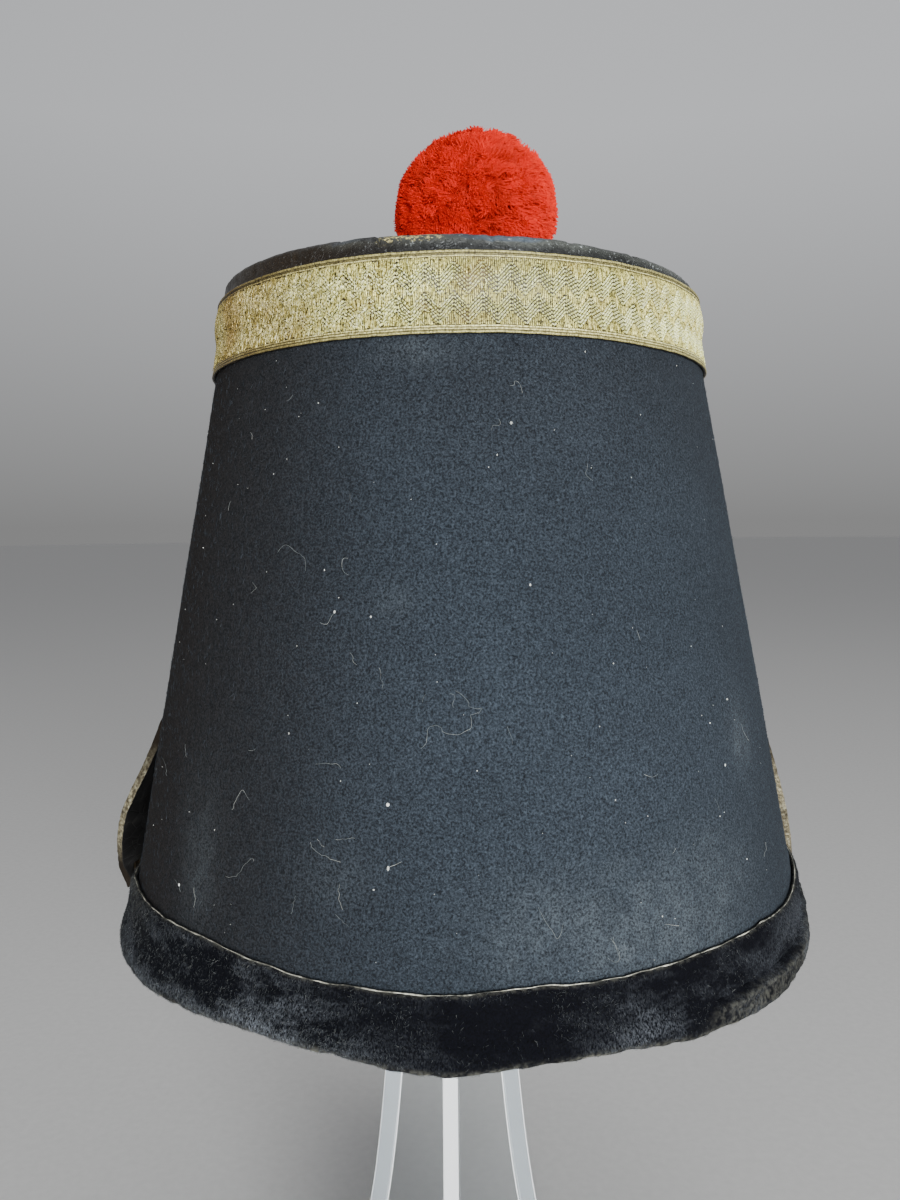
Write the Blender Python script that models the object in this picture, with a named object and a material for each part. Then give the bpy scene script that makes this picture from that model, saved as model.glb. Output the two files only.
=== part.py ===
"""Shako hat on a clear two-panel stand.

Metres, +Z up. The origin is the middle of the stand's foot. The hat's front, with the peak and the
pompom, points to +Y. Hat pieces are modelled above the plane of the hat's lower edge and are carried
by the empty "hat_seat", which stands at the height of that plane.

A place on the hat is given by its turn round the body (0 degrees at the back, 90 at the right side,
180 at the front), its height above the lower edge, and how far it lies out from the felt's surface.
"""

from bisect import bisect_right
from math import cos, pi, radians, sin, tan

import bmesh
import bpy
from mathutils import Matrix, Vector

MM = 0.001
SEAT_GAP = 0.3 * MM

# The felt body: a tapered tube with an oval section, longer from front to back.
HAT_LIFT = 145 * MM
HAT_ASIDE = 3.8 * MM
FOOT_HALF_X = 85.8 * MM
FOOT_HALF_Y = 92.8 * MM
CROWN_HALF_X = 58.3 * MM
CROWN_HALF_Y = 64.5 * MM
CROWN_HEIGHT = 151.1 * MM
BELLY = 0.1 * MM
FELT_WALL = 2.4 * MM
FELT_TOP = 152.4 * MM
FELT_LEVELS = (0.22, 0.48, 0.75)
AROUND = 80

# The moulded leather top, whose edge is turned down over the felt.
LEATHER = 0.9 * MM
RIM_HEIGHT = 154.6 * MM
RIM_LEAN = 1.3 * MM
RIM_ROLL = 1.2 * MM
SKIRT_FOOT = 146.8 * MM
CROWN_SINK = 4.6 * MM
CROWN_DISC_SHARE = 0.35

# The metal lace: it stands out at the top, where it covers the leather's turned-down edge.
LACE_TOP = 150.5 * MM
LACE_FOOT = 134.3 * MM
LACE_SIDE_SAG = 1.1 * MM
LACE_STEP = (140.5 * MM, 146.3 * MM)
LACE_THICK = 0.8 * MM

# The velvet band: its two edges wander. Heights are read between the rows with soft steps.
#               turn, top edge, lower edge, bulge of the hem (degrees, mm)
VELVET_ROWS = ((-180, 13.0, -0.3, 2.6),
               (-110, 13.4, -0.8, 2.4),
               (-76, 14.2, -2.4, 2.1),
               (-52, 14.2, -1.0, 2.6),
               (-38, 15.0, 0.6, 2.6),
               (-28, 14.1, 1.4, 2.6),
               (-18, 12.9, 0.9, 2.6),
               (-2, 12.4, -1.3, 2.8),
               (10, 13.4, 0.0, 2.7),
               (18, 13.0, 0.3, 2.6),
               (32, 13.4, -1.1, 2.8),
               (48, 13.2, -2.1, 2.8),
               (60, 12.2, -1.8, 2.5),
               (76, 13.0, -1.6, 1.9),
               (110, 13.4, -0.5, 2.4),
               (180, 13.0, -0.3, 2.6))
VELVET_THICK = 1.2 * MM
VELVET_INSIDE = 10.0 * MM
VELVET_EDGE_SHARE = 0.5
VELVET_EDGE_DROP = 1.6 * MM
VELVET_MID_SHARE = 0.7
HEM_RISE = 4.0 * MM
HEM_INSIDE_RISE = 0.8 * MM
# The rolled hem from its upper side to its lowest line: share of the bulge, share of the rise.
HEM_ROLL = ((1.0, 1.0), (1.0, 0.35), (0.65, 0.05), (0.0, 0.0))

# The chin strap: from a post at each side it stands off the felt, rises and crosses the front.
#             turn, height, out at the left, out at the right (degrees, mm)
STRAP_ROWS = ((97.6, -3.0, 5.4, 4.3),
              (97.2, 3.0, 7.2, 4.4),
              (96.2, 8.5, 9.6, 4.4),
              (95.0, 14.5, 10.9, 4.2),
              (94.1, 20.5, 10.4, 3.8),
              (93.8, 27.0, 8.0, 3.1),
              (94.4, 34.5, 5.5, 2.4),
              (96.8, 42.5, 3.8, 1.9),
              (101.5, 50.5, 2.4, 1.7),
              (110.0, 59.0, 1.8, 1.6),
              (125.0, 67.0, 1.6, 1.6),
              (150.0, 73.0, 1.6, 1.6),
              (180.0, 75.0, 1.6, 1.6))
STRAP_WIDTH = 14 * MM
STRAP_THICK = 2.0 * MM
STRAP_STEPS = 5
POST_SECTION = 4
POST_RADIUS = 1.5 * MM
POST_FOOT_CLEAR = 0.8 * MM
POST_HOLE_RADIUS = 1.9 * MM
POST_HEAD_RADIUS = 3.5 * MM
POST_HEAD_THICK = 1.4 * MM
POST_CROWN_SHARE = 0.75
POST_SIDES = 20

# The peak: a leather crescent that slopes down from the hem at the front.
PEAK_HALF_TURN = 56
PEAK_REACH = 40 * MM
PEAK_END_REACH = 3 * MM
PEAK_END_CLEAR = 0.5 * MM
PEAK_SLOPE = 30
PEAK_ROOT = 5.0 * MM
PEAK_THICK = 2.4 * MM
PEAK_ACROSS = 28
PEAK_RINGS = 5

# The pompom and the post that carries it in front of the lace.
POMPOM_X = 5 * MM
POMPOM_Y = 70.5 * MM
POMPOM_HEIGHT = 197.2 * MM
POMPOM_RADIUS = 26.3 * MM
LOCK_LENGTH = 4.2 * MM
LOCK_TIP_SHARE = 0.42
LOCK_UNEVEN = 0.9 * MM
LOCK_SWING = (2.4, 0.7)
WIRE_RADIUS = 1.6 * MM
WIRE_BORE_RADIUS = 2.0 * MM
WIRE_IN_BALL = 14 * MM
SHOE = Vector((12, 3.4, 15)) * MM
SHOE_HEIGHT = 142.5 * MM
SHOE_CLEAR = 0.55 * MM
SHOE_ROUND = 0.7 * MM

# The stand: two clear panels, each with a slot that takes the other.
#               height, half width (mm)
PANEL_ROWS = ((0.0, 47.0),
              (5.0, 46.0),
              (14.0, 38.5),
              (30.0, 29.8),
              (54.0, 23.2),
              (92.0, 18.5),
              (145.0, 15.2),
              (195.0, 16.2),
              (245.0, 21.5),
              (278.0, 29.0))
PANEL_TOP_HALF = 32.0 * MM
PANEL_THICK = 4.0 * MM
PANEL_STEPS = 3
SLOT_END = 145 * MM


def soft_step(share):
    return share * share * (3 - 2 * share)


def read_rows(rows, key, column):
    """The value of a column at key, with a soft step between the two rows that enclose it."""
    keys = [row[0] for row in rows]
    i = min(max(bisect_right(keys, key) - 1, 0), len(rows) - 2)
    share = soft_step(min(max((key - keys[i]) / (keys[i + 1] - keys[i]), 0), 1))
    return rows[i][column] * (1 - share) + rows[i + 1][column] * share


def spline_rows(rows, steps):
    """More rows between the given ones, on a smooth curve through them."""
    ends = [rows[0], *rows, rows[-1]]
    out = []
    for i in range(len(rows) - 1):
        p0, p1, p2, p3 = (Vector(row) for row in ends[i:i + 4])
        for k in range(steps):
            t = k / steps
            out.append(0.5 * (2 * p1 + (p2 - p0) * t + (2 * p0 - 5 * p1 + 4 * p2 - p3) * t ** 2
                              + (3 * p1 - p0 - 3 * p2 + p3) * t ** 3))
    return [*out, Vector(rows[-1])]


def half_sizes(height, out=0.0):
    """The felt's outer half width and half depth at a height, moved out by a distance."""
    share = height / CROWN_HEIGHT
    belly = BELLY * sin(pi * min(max(share, 0), 1)) + out
    return (FOOT_HALF_X + (CROWN_HALF_X - FOOT_HALF_X) * share + belly,
            FOOT_HALF_Y + (CROWN_HALF_Y - FOOT_HALF_Y) * share + belly)


def on_hat(turn, height, out=0.0):
    half_x, half_y = half_sizes(height, out)
    return Vector((half_x * sin(radians(turn)), -half_y * cos(radians(turn)), height))


def outward(point, level=False):
    """The direction straight out of the body's sloping wall, or the level one."""
    half_x, half_y = half_sizes(point.z)
    shrink_x = (FOOT_HALF_X - CROWN_HALF_X) / CROWN_HEIGHT
    shrink_y = (FOOT_HALF_Y - CROWN_HALF_Y) / CROWN_HEIGHT
    rise = point.x ** 2 * shrink_x / half_x ** 3 + point.y ** 2 * shrink_y / half_y ** 3
    return Vector((point.x / half_x ** 2, point.y / half_y ** 2, 0 if level else rise)).normalized()


def material(name, colour, roughness, metallic=0.0, clear=0.0):
    made = bpy.data.materials.new(name)
    made.use_nodes = True
    shader = made.node_tree.nodes["Principled BSDF"]
    shader.inputs["Base Color"].default_value = (*colour, 1)
    shader.inputs["Roughness"].default_value = roughness
    shader.inputs["Metallic"].default_value = metallic
    shader.inputs["Transmission Weight"].default_value = clear
    made.diffuse_color = (*colour, 1)
    return made


def add_object(name, bm, finish, carrier=None, sharp=35):
    mesh = bpy.data.meshes.new(name)
    bm.to_mesh(mesh)
    bm.free()
    mesh.shade_smooth()
    mesh.set_sharp_from_angle(angle=radians(sharp))
    mesh.materials.append(finish)
    made = bpy.data.objects.new(name, mesh)
    bpy.context.collection.objects.link(made)
    made.parent = carrier
    return made


def close_shape(bm):
    """Fills an open end and turns the faces outwards."""
    bmesh.ops.holes_fill(bm, edges=bm.edges, sides=0)
    bmesh.ops.recalc_face_normals(bm, faces=bm.faces)


def cut_or_join(target, tool, operation):
    """Puts a Boolean on the target and hides the tool from the finished part."""
    step = target.modifiers.new(operation.lower(), "BOOLEAN")
    step.operation = operation
    step.solver = "EXACT"
    step.object = tool
    tool.hide_render = True
    tool.display_type = "WIRE"


def ring_round_hat(bm, rings, closed):
    """Turns a profile round the hat. Each ring is (out, height, share), where height may be a
    function of the turn, and share draws a ring in towards the axis. A closed profile ends where
    it began; an open one has a cap at both ends."""
    circle = bmesh.ops.create_circle(bm, cap_ends=False, radius=1, segments=AROUND)["verts"]
    turns = {v: round((v.co.to_2d().angle_signed(Vector((0, -1))) * 180 / pi) % 360, 4) for v in circle}
    edges = list(bm.edges)

    def place(verts, ring):
        out, height, share = ring
        for v, turn in verts.items():
            if turn > 180:
                turn -= 360
            at = on_hat(turn, height(turn) if callable(height) else height,
                        out(turn) if callable(out) else out)
            v.co = Vector((at.x * share, at.y * share, at.z))

    place(turns, rings[0])
    first_edges = edges
    if not closed:
        bmesh.ops.edgeloop_fill(bm, edges=edges)
    for ring in rings[1:] + (rings[:1] if closed else []):
        where = {tuple(v.co): turn for v, turn in turns.items()}
        grown = bmesh.ops.extrude_edge_only(bm, edges=edges)["geom"]
        turns = {v: where[tuple(v.co)] for v in grown if isinstance(v, bmesh.types.BMVert)}
        edges = [e for e in grown if isinstance(e, bmesh.types.BMEdge)
                 and all(v in turns for v in e.verts)]
        place(turns, ring)
    if closed:
        bmesh.ops.remove_doubles(bm, verts=[*turns, *{v for e in first_edges for v in e.verts}],
                                 dist=1e-7)
    else:
        bmesh.ops.edgeloop_fill(bm, edges=edges)
    bmesh.ops.recalc_face_normals(bm, faces=bm.faces)


def velvet_top(turn):
    return read_rows(VELVET_ROWS, turn, 1) * MM


def velvet_foot(turn):
    return read_rows(VELVET_ROWS, turn, 2) * MM


def hem_bulge(turn):
    return read_rows(VELVET_ROWS, turn, 3) * MM


def above_foot(rise):
    return lambda turn: velvet_foot(turn) + rise


def make_felt_body(carrier):
    foot = above_foot(VELVET_THICK + 2 * SEAT_GAP)
    levels = [CROWN_HEIGHT * share for share in FELT_LEVELS]
    rings = [(0, foot, 1), *((0, level, 1) for level in levels), (0, FELT_TOP, 1),
             (-FELT_WALL, FELT_TOP, 1), (-FELT_WALL, levels[1], 1), (-FELT_WALL, foot, 1)]
    bm = bmesh.new()
    ring_round_hat(bm, rings, closed=True)
    return add_object("felt_body", bm, material("felt", (0.022, 0.026, 0.034), 0.95), carrier)


def make_patent_crown(carrier):
    def rim(drop):
        return lambda turn: RIM_HEIGHT - RIM_LEAN * sin(radians(turn)) - drop

    skirt_in = SEAT_GAP
    skirt_out = SEAT_GAP + LEATHER
    wall_out = -FELT_WALL - SEAT_GAP
    wall_in = wall_out - LEATHER
    disc = RIM_HEIGHT - CROWN_SINK
    rings = [(wall_in, disc, CROWN_DISC_SHARE),
             (wall_in - RIM_ROLL, disc, 1),
             (wall_in, disc + RIM_ROLL, 1),
             (wall_in + 0.4 * RIM_ROLL, rim(0.7 * RIM_ROLL), 1),
             (-0.6 * FELT_WALL, rim(0), 1),
             (skirt_in, rim(0.15 * RIM_ROLL), 1),
             (skirt_out, rim(RIM_ROLL), 1),
             (skirt_out, SKIRT_FOOT, 1),
             (skirt_in, SKIRT_FOOT, 1),
             (skirt_in, FELT_TOP + SEAT_GAP, 1),
             (wall_out, FELT_TOP + SEAT_GAP, 1),
             (wall_out, disc - LEATHER, 1),
             (wall_out, disc - LEATHER, CROWN_DISC_SHARE)]
    bm = bmesh.new()
    ring_round_hat(bm, rings, closed=False)
    return add_object("patent_crown", bm, material("patent_leather", (0.01, 0.011, 0.013), 0.22), carrier)


def make_metal_lace(carrier):
    low = SEAT_GAP
    high = 2 * SEAT_GAP + LEATHER

    def foot(turn):
        return LACE_FOOT - LACE_SIDE_SAG * sin(radians(turn)) ** 2

    inner = [(low, foot, 1), (low, LACE_STEP[0], 1), (high, LACE_STEP[1], 1), (high, LACE_TOP, 1)]
    outer = [(out + LACE_THICK, height, 1) for out, height, _ in reversed(inner)]
    bm = bmesh.new()
    ring_round_hat(bm, inner + outer, closed=True)
    return add_object("metal_lace", bm, material("metal_thread", (0.56, 0.5, 0.33), 0.42, 0.6), carrier)


def make_velvet_band(carrier):
    face_in = SEAT_GAP
    inside_out = -FELT_WALL - SEAT_GAP
    inside_in = inside_out - VELVET_THICK
    under_felt = above_foot(VELVET_THICK + SEAT_GAP)

    def drop_from_top(drop):
        return lambda turn: velvet_top(turn) - drop

    def bulge(share):
        return lambda turn: hem_bulge(turn) * share

    def mid_height(turn):
        return (velvet_top(turn) + velvet_foot(turn)) / 2

    outer = [(bulge(share), above_foot(rise * HEM_RISE), 1) for share, rise in HEM_ROLL]
    rings = [(face_in + VELVET_EDGE_SHARE * VELVET_THICK, velvet_top, 1),
             (face_in + VELVET_THICK, drop_from_top(VELVET_EDGE_DROP), 1),
             (bulge(VELVET_MID_SHARE), mid_height, 1),
             *outer,
             (inside_out, above_foot(HEM_INSIDE_RISE), 1),
             (inside_in, above_foot(2 * HEM_INSIDE_RISE), 1),
             (inside_in, VELVET_INSIDE, 1),
             (inside_out, VELVET_INSIDE, 1),
             (inside_out, under_felt, 1),
             (face_in, under_felt, 1),
             (face_in, velvet_top, 1)]
    bm = bmesh.new()
    ring_round_hat(bm, rings, closed=True)
    return add_object("velvet_band", bm, material("velvet", (0.009, 0.011, 0.018), 0.85), carrier)


def strap_sections():
    """The strap's sections from the left post round the front to the right post, each with its
    middle, the direction across the strap and the direction out of its face."""
    rows = spline_rows(STRAP_ROWS, STRAP_STEPS)
    left = [on_hat(-turn, height * MM, out_left * MM) for turn, height, out_left, _ in rows]
    right = [on_hat(turn, height * MM, out_right * MM) for turn, height, _, out_right in rows]
    route = left + right[-2::-1]
    sections = []
    for i, middle in enumerate(route):
        along = (route[min(i + 1, len(route) - 1)] - route[max(i - 1, 0)]).normalized()
        across = outward(middle).cross(along).normalized()
        sections.append((middle, across, along.cross(across)))
    return sections


def make_chin_strap(carrier):
    bm = bmesh.new()
    section = None
    for middle, across, lift in strap_sections():
        if section is None:
            section = [bm.verts.new() for _ in range(4)]
            bm.faces.new(section)
        else:
            face = next(f for f in bm.faces if set(f.verts) == set(section))
            grown = bmesh.ops.extrude_discrete_faces(bm, faces=[face])["faces"][0]
            section = list(grown.verts)
        for v, side, level in zip(section, (-1, 1, 1, -1), (-1, -1, 1, 1)):
            v.co = middle + across * side * STRAP_WIDTH / 2 + lift * level * STRAP_THICK / 2
    close_shape(bm)
    return add_object("chin_strap", bm, material("strap_leather", (0.016, 0.015, 0.014), 0.5), carrier)


def make_strap_post(name, side, strap, carrier):
    """A pin square to the strap, with its foot at the velvet and a flat head outside the strap."""
    place = POST_SECTION if side < 0 else -1 - POST_SECTION
    middle, _, axis = strap_sections()[place]
    turn, _, out_left, out_right = spline_rows(STRAP_ROWS, STRAP_STEPS)[POST_SECTION]
    strap_out = (out_left if side < 0 else out_right) * MM
    below = strap_out - hem_bulge(turn * side) - POST_FOOT_CLEAR
    above = STRAP_THICK / 2 + SEAT_GAP
    bm = bmesh.new()
    bmesh.ops.create_circle(bm, cap_ends=True, radius=POST_RADIUS, segments=POST_SIDES)
    face = next(iter(bm.faces))
    crown_rise = POST_HEAD_THICK / 3
    for grow, rise in ((1, below + above), (POST_HEAD_RADIUS / POST_RADIUS, 0),
                       (1, POST_HEAD_THICK - crown_rise), (POST_CROWN_SHARE, crown_rise)):
        face = bmesh.ops.extrude_discrete_faces(bm, faces=[face])["faces"][0]
        for v in face.verts:
            v.co = Vector((v.co.x * grow, v.co.y * grow, v.co.z + rise))
    close_shape(bm)
    turned = Matrix.Translation(middle) @ axis.to_track_quat("Z", "X").to_matrix().to_4x4()
    bmesh.ops.transform(bm, matrix=turned @ Matrix.Translation((0, 0, -below)), verts=bm.verts)
    post = add_object(name, bm, material("post_brass", (0.32, 0.25, 0.12), 0.45, 0.9), carrier)

    hole = bmesh.new()
    bmesh.ops.create_cone(hole, cap_ends=True, segments=POST_SIDES, radius1=POST_HOLE_RADIUS,
                          radius2=POST_HOLE_RADIUS, depth=3 * STRAP_THICK)
    bmesh.ops.transform(hole, matrix=turned, verts=hole.verts)
    cutter = add_object(name + "_hole", hole, strap.data.materials[0], carrier)
    cut_or_join(strap, cutter, "DIFFERENCE")
    return post


def make_peak(carrier):
    bm = bmesh.new()
    turns = [PEAK_HALF_TURN * (2 * i / PEAK_ACROSS - 1) for i in range(PEAK_ACROSS + 1)]
    clear = PEAK_THICK * sin(radians(PEAK_SLOPE)) + 1.5 * SEAT_GAP
    places = {}
    for shift in turns:
        share = cos(radians(90 * shift / PEAK_HALF_TURN))
        reach = PEAK_END_REACH + (PEAK_REACH - PEAK_END_REACH) * share
        turn = 180 - shift if shift > 0 else -180 - shift
        root = on_hat(turn, PEAK_ROOT, hem_bulge(turn) + clear + (1 - share) * PEAK_END_CLEAR)
        away = (outward(root, level=True) + Vector((0, 1, 0))).normalized()
        v = bm.verts.new(root)
        places[v] = (root, away, reach)
    edges = [bm.edges.new(pair) for pair in zip(list(places)[:-1], list(places)[1:])]
    for ring in range(1, PEAK_RINGS + 1):
        where = {tuple(v.co): place for v, place in places.items()}
        grown = bmesh.ops.extrude_edge_only(bm, edges=edges)["geom"]
        places = {v: where[tuple(v.co)] for v in grown if isinstance(v, bmesh.types.BMVert)}
        edges = [e for e in grown if isinstance(e, bmesh.types.BMEdge)
                 and all(v in places for v in e.verts)]
        for v, (root, away, reach) in places.items():
            run = reach * ring / PEAK_RINGS
            v.co = root + away * run - Vector((0, 0, 1)) * run * tan(radians(PEAK_SLOPE))
    for face in bm.faces:
        face.normal_update()
    if sum(face.normal.z for face in bm.faces) < 0:
        bmesh.ops.reverse_faces(bm, faces=bm.faces)
    made = add_object("peak", bm, material("peak_leather", (0.012, 0.012, 0.013), 0.3), carrier)
    wall = made.modifiers.new("wall", "SOLIDIFY")
    wall.thickness = PEAK_THICK
    wall.offset = -1
    return made


def make_pompom(carrier):
    """Wool locks that taper outwards, fused to a round head, with a bore for the post."""
    bm = bmesh.new()
    bmesh.ops.create_icosphere(bm, subdivisions=3, radius=POMPOM_RADIUS - LOCK_LENGTH)
    heads = bmesh.ops.extrude_discrete_faces(bm, faces=bm.faces[:])["faces"]
    for i, lock in enumerate(heads):
        middle = lock.calc_center_median()
        length = LOCK_LENGTH + LOCK_UNEVEN * sin(LOCK_SWING[0] * i) * cos(LOCK_SWING[1] * i)
        for v in lock.verts:
            v.co = middle + (v.co - middle) * LOCK_TIP_SHARE + middle.normalized() * length
    bmesh.ops.recalc_face_normals(bm, faces=bm.faces)
    finish = material("pompom_wool", (0.55, 0.045, 0.016), 0.95)
    ball = add_object("pompom", bm, finish, carrier, sharp=25)
    ball.location = (POMPOM_X, POMPOM_Y, POMPOM_HEIGHT)

    bore = bmesh.new()
    bmesh.ops.create_cone(bore, cap_ends=True, segments=POST_SIDES, radius1=WIRE_BORE_RADIUS,
                          radius2=WIRE_BORE_RADIUS, depth=2 * WIRE_IN_BALL)
    cutter = add_object("pompom_bore", bore, finish, carrier)
    cutter.location = (POMPOM_X, POMPOM_Y, POMPOM_HEIGHT - POMPOM_RADIUS)
    cut_or_join(ball, cutter, "DIFFERENCE")
    return ball


def make_pompom_post(carrier):
    """A shoe in front of the lace and a wire that rises from it into the pompom."""
    finish = material("post_iron", (0.02, 0.02, 0.021), 0.5, 0.8)
    lace_out = 2 * SEAT_GAP + LEATHER + LACE_THICK
    low, high = (on_hat(180, SHOE_HEIGHT + side * SHOE.z / 2, lace_out).y for side in (-1, 1))
    bm = bmesh.new()
    bmesh.ops.create_cube(bm, size=1)
    bmesh.ops.scale(bm, vec=SHOE, verts=bm.verts)
    for v in bm.verts:
        v.co.y += (low - high) * (0.5 - v.co.z / SHOE.z)
    bmesh.ops.bevel(bm, geom=bm.edges, offset=SHOE_ROUND, segments=2, profile=0.5, affect="EDGES")
    shoe = add_object("pompom_post", bm, finish, carrier)
    shoe.location = (POMPOM_X, high + SHOE_CLEAR + SHOE.y / 2, SHOE_HEIGHT)

    foot = SHOE_HEIGHT + SHOE.z / 4
    top = POMPOM_HEIGHT - POMPOM_RADIUS + WIRE_IN_BALL - 2 * SEAT_GAP
    wire = bmesh.new()
    bmesh.ops.create_cone(wire, cap_ends=True, segments=POST_SIDES, radius1=WIRE_RADIUS,
                          radius2=WIRE_RADIUS, depth=top - foot)
    tool = add_object("pompom_wire", wire, finish, carrier)
    tool.location = (POMPOM_X, POMPOM_Y, (foot + top) / 2)
    cut_or_join(shoe, tool, "UNION")
    return shoe


def make_panel(name, slot_from_top, finish):
    """One clear panel in the XZ plane. Its outline runs up the right side and down the left."""
    top = HAT_LIFT + RIM_HEIGHT - CROWN_SINK - LEATHER - SEAT_GAP
    rows = spline_rows([(half * MM, height * MM) for height, half in PANEL_ROWS]
                       + [(PANEL_TOP_HALF, top)], PANEL_STEPS)
    side = [(half, min(height, top)) for half, height in rows]
    slot_half = PANEL_THICK / 2 + SEAT_GAP
    if slot_from_top:
        foot_points = []
        top_points = [(slot_half, top), (slot_half, SLOT_END), (-slot_half, SLOT_END), (-slot_half, top)]
    else:
        slot_top = SLOT_END + SEAT_GAP
        foot_points = [(-slot_half, 0), (-slot_half, slot_top), (slot_half, slot_top), (slot_half, 0)]
        top_points = []
    outline = foot_points + side + top_points + [(-half, height) for half, height in reversed(side)]
    bm = bmesh.new()
    face = bm.faces.new([bm.verts.new((x, -PANEL_THICK / 2, z)) for x, z in outline])
    grown = bmesh.ops.extrude_face_region(bm, geom=[face])["geom"]
    bmesh.ops.translate(bm, vec=(0, PANEL_THICK, 0),
                        verts=[v for v in grown if isinstance(v, bmesh.types.BMVert)])
    bmesh.ops.recalc_face_normals(bm, faces=bm.faces)
    return add_object(name, bm, finish)


def build():
    for old in list(bpy.data.objects):
        bpy.data.objects.remove(old, do_unlink=True)
    seat = bpy.data.objects.new("hat_seat", None)
    seat.location = (HAT_ASIDE, 0, HAT_LIFT)
    bpy.context.collection.objects.link(seat)

    make_felt_body(seat)
    make_patent_crown(seat)
    make_metal_lace(seat)
    make_velvet_band(seat)
    strap = make_chin_strap(seat)
    make_strap_post("strap_post_left", -1, strap, seat)
    make_strap_post("strap_post_right", 1, strap, seat)
    make_peak(seat)
    make_pompom(seat)
    make_pompom_post(seat)

    clear = material("clear_acrylic", (0.93, 0.96, 0.96), 0.04, clear=1.0)
    make_panel("stand_panel_a", True, clear)
    cross = make_panel("stand_panel_b", False, clear)
    cross.rotation_euler = (0, 0, radians(90))


build()
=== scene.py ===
import math
import random

import bmesh
import bpy
from mathutils import Matrix, Vector, noise


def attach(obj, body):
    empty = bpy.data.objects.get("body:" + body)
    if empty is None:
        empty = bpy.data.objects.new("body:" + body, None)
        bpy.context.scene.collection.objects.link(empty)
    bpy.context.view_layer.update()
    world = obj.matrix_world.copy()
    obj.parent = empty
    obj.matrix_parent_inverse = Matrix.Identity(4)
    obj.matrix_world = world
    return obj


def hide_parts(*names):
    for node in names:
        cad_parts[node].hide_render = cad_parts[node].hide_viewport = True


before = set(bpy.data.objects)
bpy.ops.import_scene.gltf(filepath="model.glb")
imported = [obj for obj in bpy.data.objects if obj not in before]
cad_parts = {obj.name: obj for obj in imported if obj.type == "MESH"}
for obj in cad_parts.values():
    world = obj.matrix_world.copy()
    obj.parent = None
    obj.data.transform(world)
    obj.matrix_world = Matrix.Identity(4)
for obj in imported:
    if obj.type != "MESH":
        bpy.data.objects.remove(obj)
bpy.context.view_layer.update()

mm = 0.001

# A place on the hat: turn round the body (0 at the back, 90 at the right side, 180 at the front),
# height above the lower edge, and how far out it lies from the felt.
hat = {
    "aside": 3.8 * mm,
    "lift": 145 * mm,
    "footHalf": (85.8 * mm, 92.8 * mm),
    "crownHalf": (58.3 * mm, 64.5 * mm),
    "height": 151.1 * mm,
    "belly": 0.1 * mm,
    "felt": 2.4 * mm,
    "gap": 0.3 * mm,
    "axis": (0, 0, 1),
}


def softStep(share):
    share = min(max(share, 0.0), 1.0)
    return share * share * (3 - 2 * share)


def mixOf(first, second, share):
    return first * (1 - share) + second * share


def readRows(rows, key, column):  # a column's value at key, soft between its two rows
    for low, high in zip(rows, rows[1:]):
        if key <= high[0]:
            break
    return mixOf(low[column], high[column], softStep((key - low[0]) / (high[0] - low[0])))


def splinePoint(points, place):  # a point on the smooth curve through points, place in spans
    span = min(max(int(place), 0), len(points) - 2)
    t = place - span
    ends = [points[min(max(span + i, 0), len(points) - 1)] for i in (-1, 0, 1, 2)]
    return [0.5 * (2 * b + (c - a) * t + (2 * a - 5 * b + 4 * c - d) * t ** 2 + (3 * b - a - 3 * c + d) * t ** 3)
            for a, b, c, d in zip(*ends)]


def halfSizes(height, out=0.0):
    share = height / hat["height"]
    belly = hat["belly"] * math.sin(math.pi * min(max(share, 0), 1)) + out
    return [mixOf(foot, crown, share) + belly for foot, crown in zip(hat["footHalf"], hat["crownHalf"])]


def onHat(turn, height, out=0.0):
    halfX, halfY = halfSizes(height, out)
    angle = math.radians(turn)
    return Vector((hat["aside"] + halfX * math.sin(angle), -halfY * math.cos(angle), hat["lift"] + height))


def faceOut(turn, height):  # the direction straight out of the body's sloping wall
    halfX, halfY = halfSizes(height)
    angle = math.radians(turn)
    slope = [(foot - crown) / hat["height"] for foot, crown in zip(hat["footHalf"], hat["crownHalf"])]
    rise = math.sin(angle) ** 2 * slope[0] / halfX + math.cos(angle) ** 2 * slope[1] / halfY
    return Vector((math.sin(angle) / halfX, -math.cos(angle) / halfY, rise)).normalized()


def wobble(turn, height, size, seed=0.0):  # smooth noise on the hat's surface, -1 to 1
    angle = math.radians(turn)
    return noise.noise(Vector((math.sin(angle) * 75 * mm, math.cos(angle) * 75 * mm, height)) / size
                       + Vector((seed, seed, seed)))


def leftShare(turn):  # how far round to the hat's left a place lies; it places the painted shade and warm bounce light there, and more worn fibres on the velvet
    return softStep((2 - turn) / 50) * softStep((turn + 150) / 50)


# Pieces that go round the hat are spun as a straight tube and then fitted to it.
def spinTube(section, steps, radius, closed=True):
    bm = bmesh.new()
    verts = [bm.verts.new((0, -(radius + out), height)) for out, height in section]
    ends = verts[1:] + verts[:1] if closed else verts[1:]
    edges = [bm.edges.new(pair) for pair in zip(verts, ends)]
    bmesh.ops.spin(bm, geom=verts + edges, cent=(0, 0, 0), axis=hat["axis"], angle=math.tau,
                   steps=steps, use_merge=True)
    return bm


def readTube(place, radius):
    return math.degrees(math.atan2(place.x, -place.y)), place.z, place.to_2d().length - radius


def layMap(bm, radius):  # a UV map in millimetres: round the tube, and up it
    layer = bm.loops.layers.uv.new("UVMap")
    for face in bm.faces:
        middle = readTube(face.calc_center_median(), radius)[0]
        for loop in face.loops:
            turn, height, _ = readTube(loop.vert.co, radius)
            turn += 360 * ((middle - turn > 180) - (turn - middle > 180))
            loop[layer].uv = (math.radians(turn) * radius / mm, height / mm)


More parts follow.
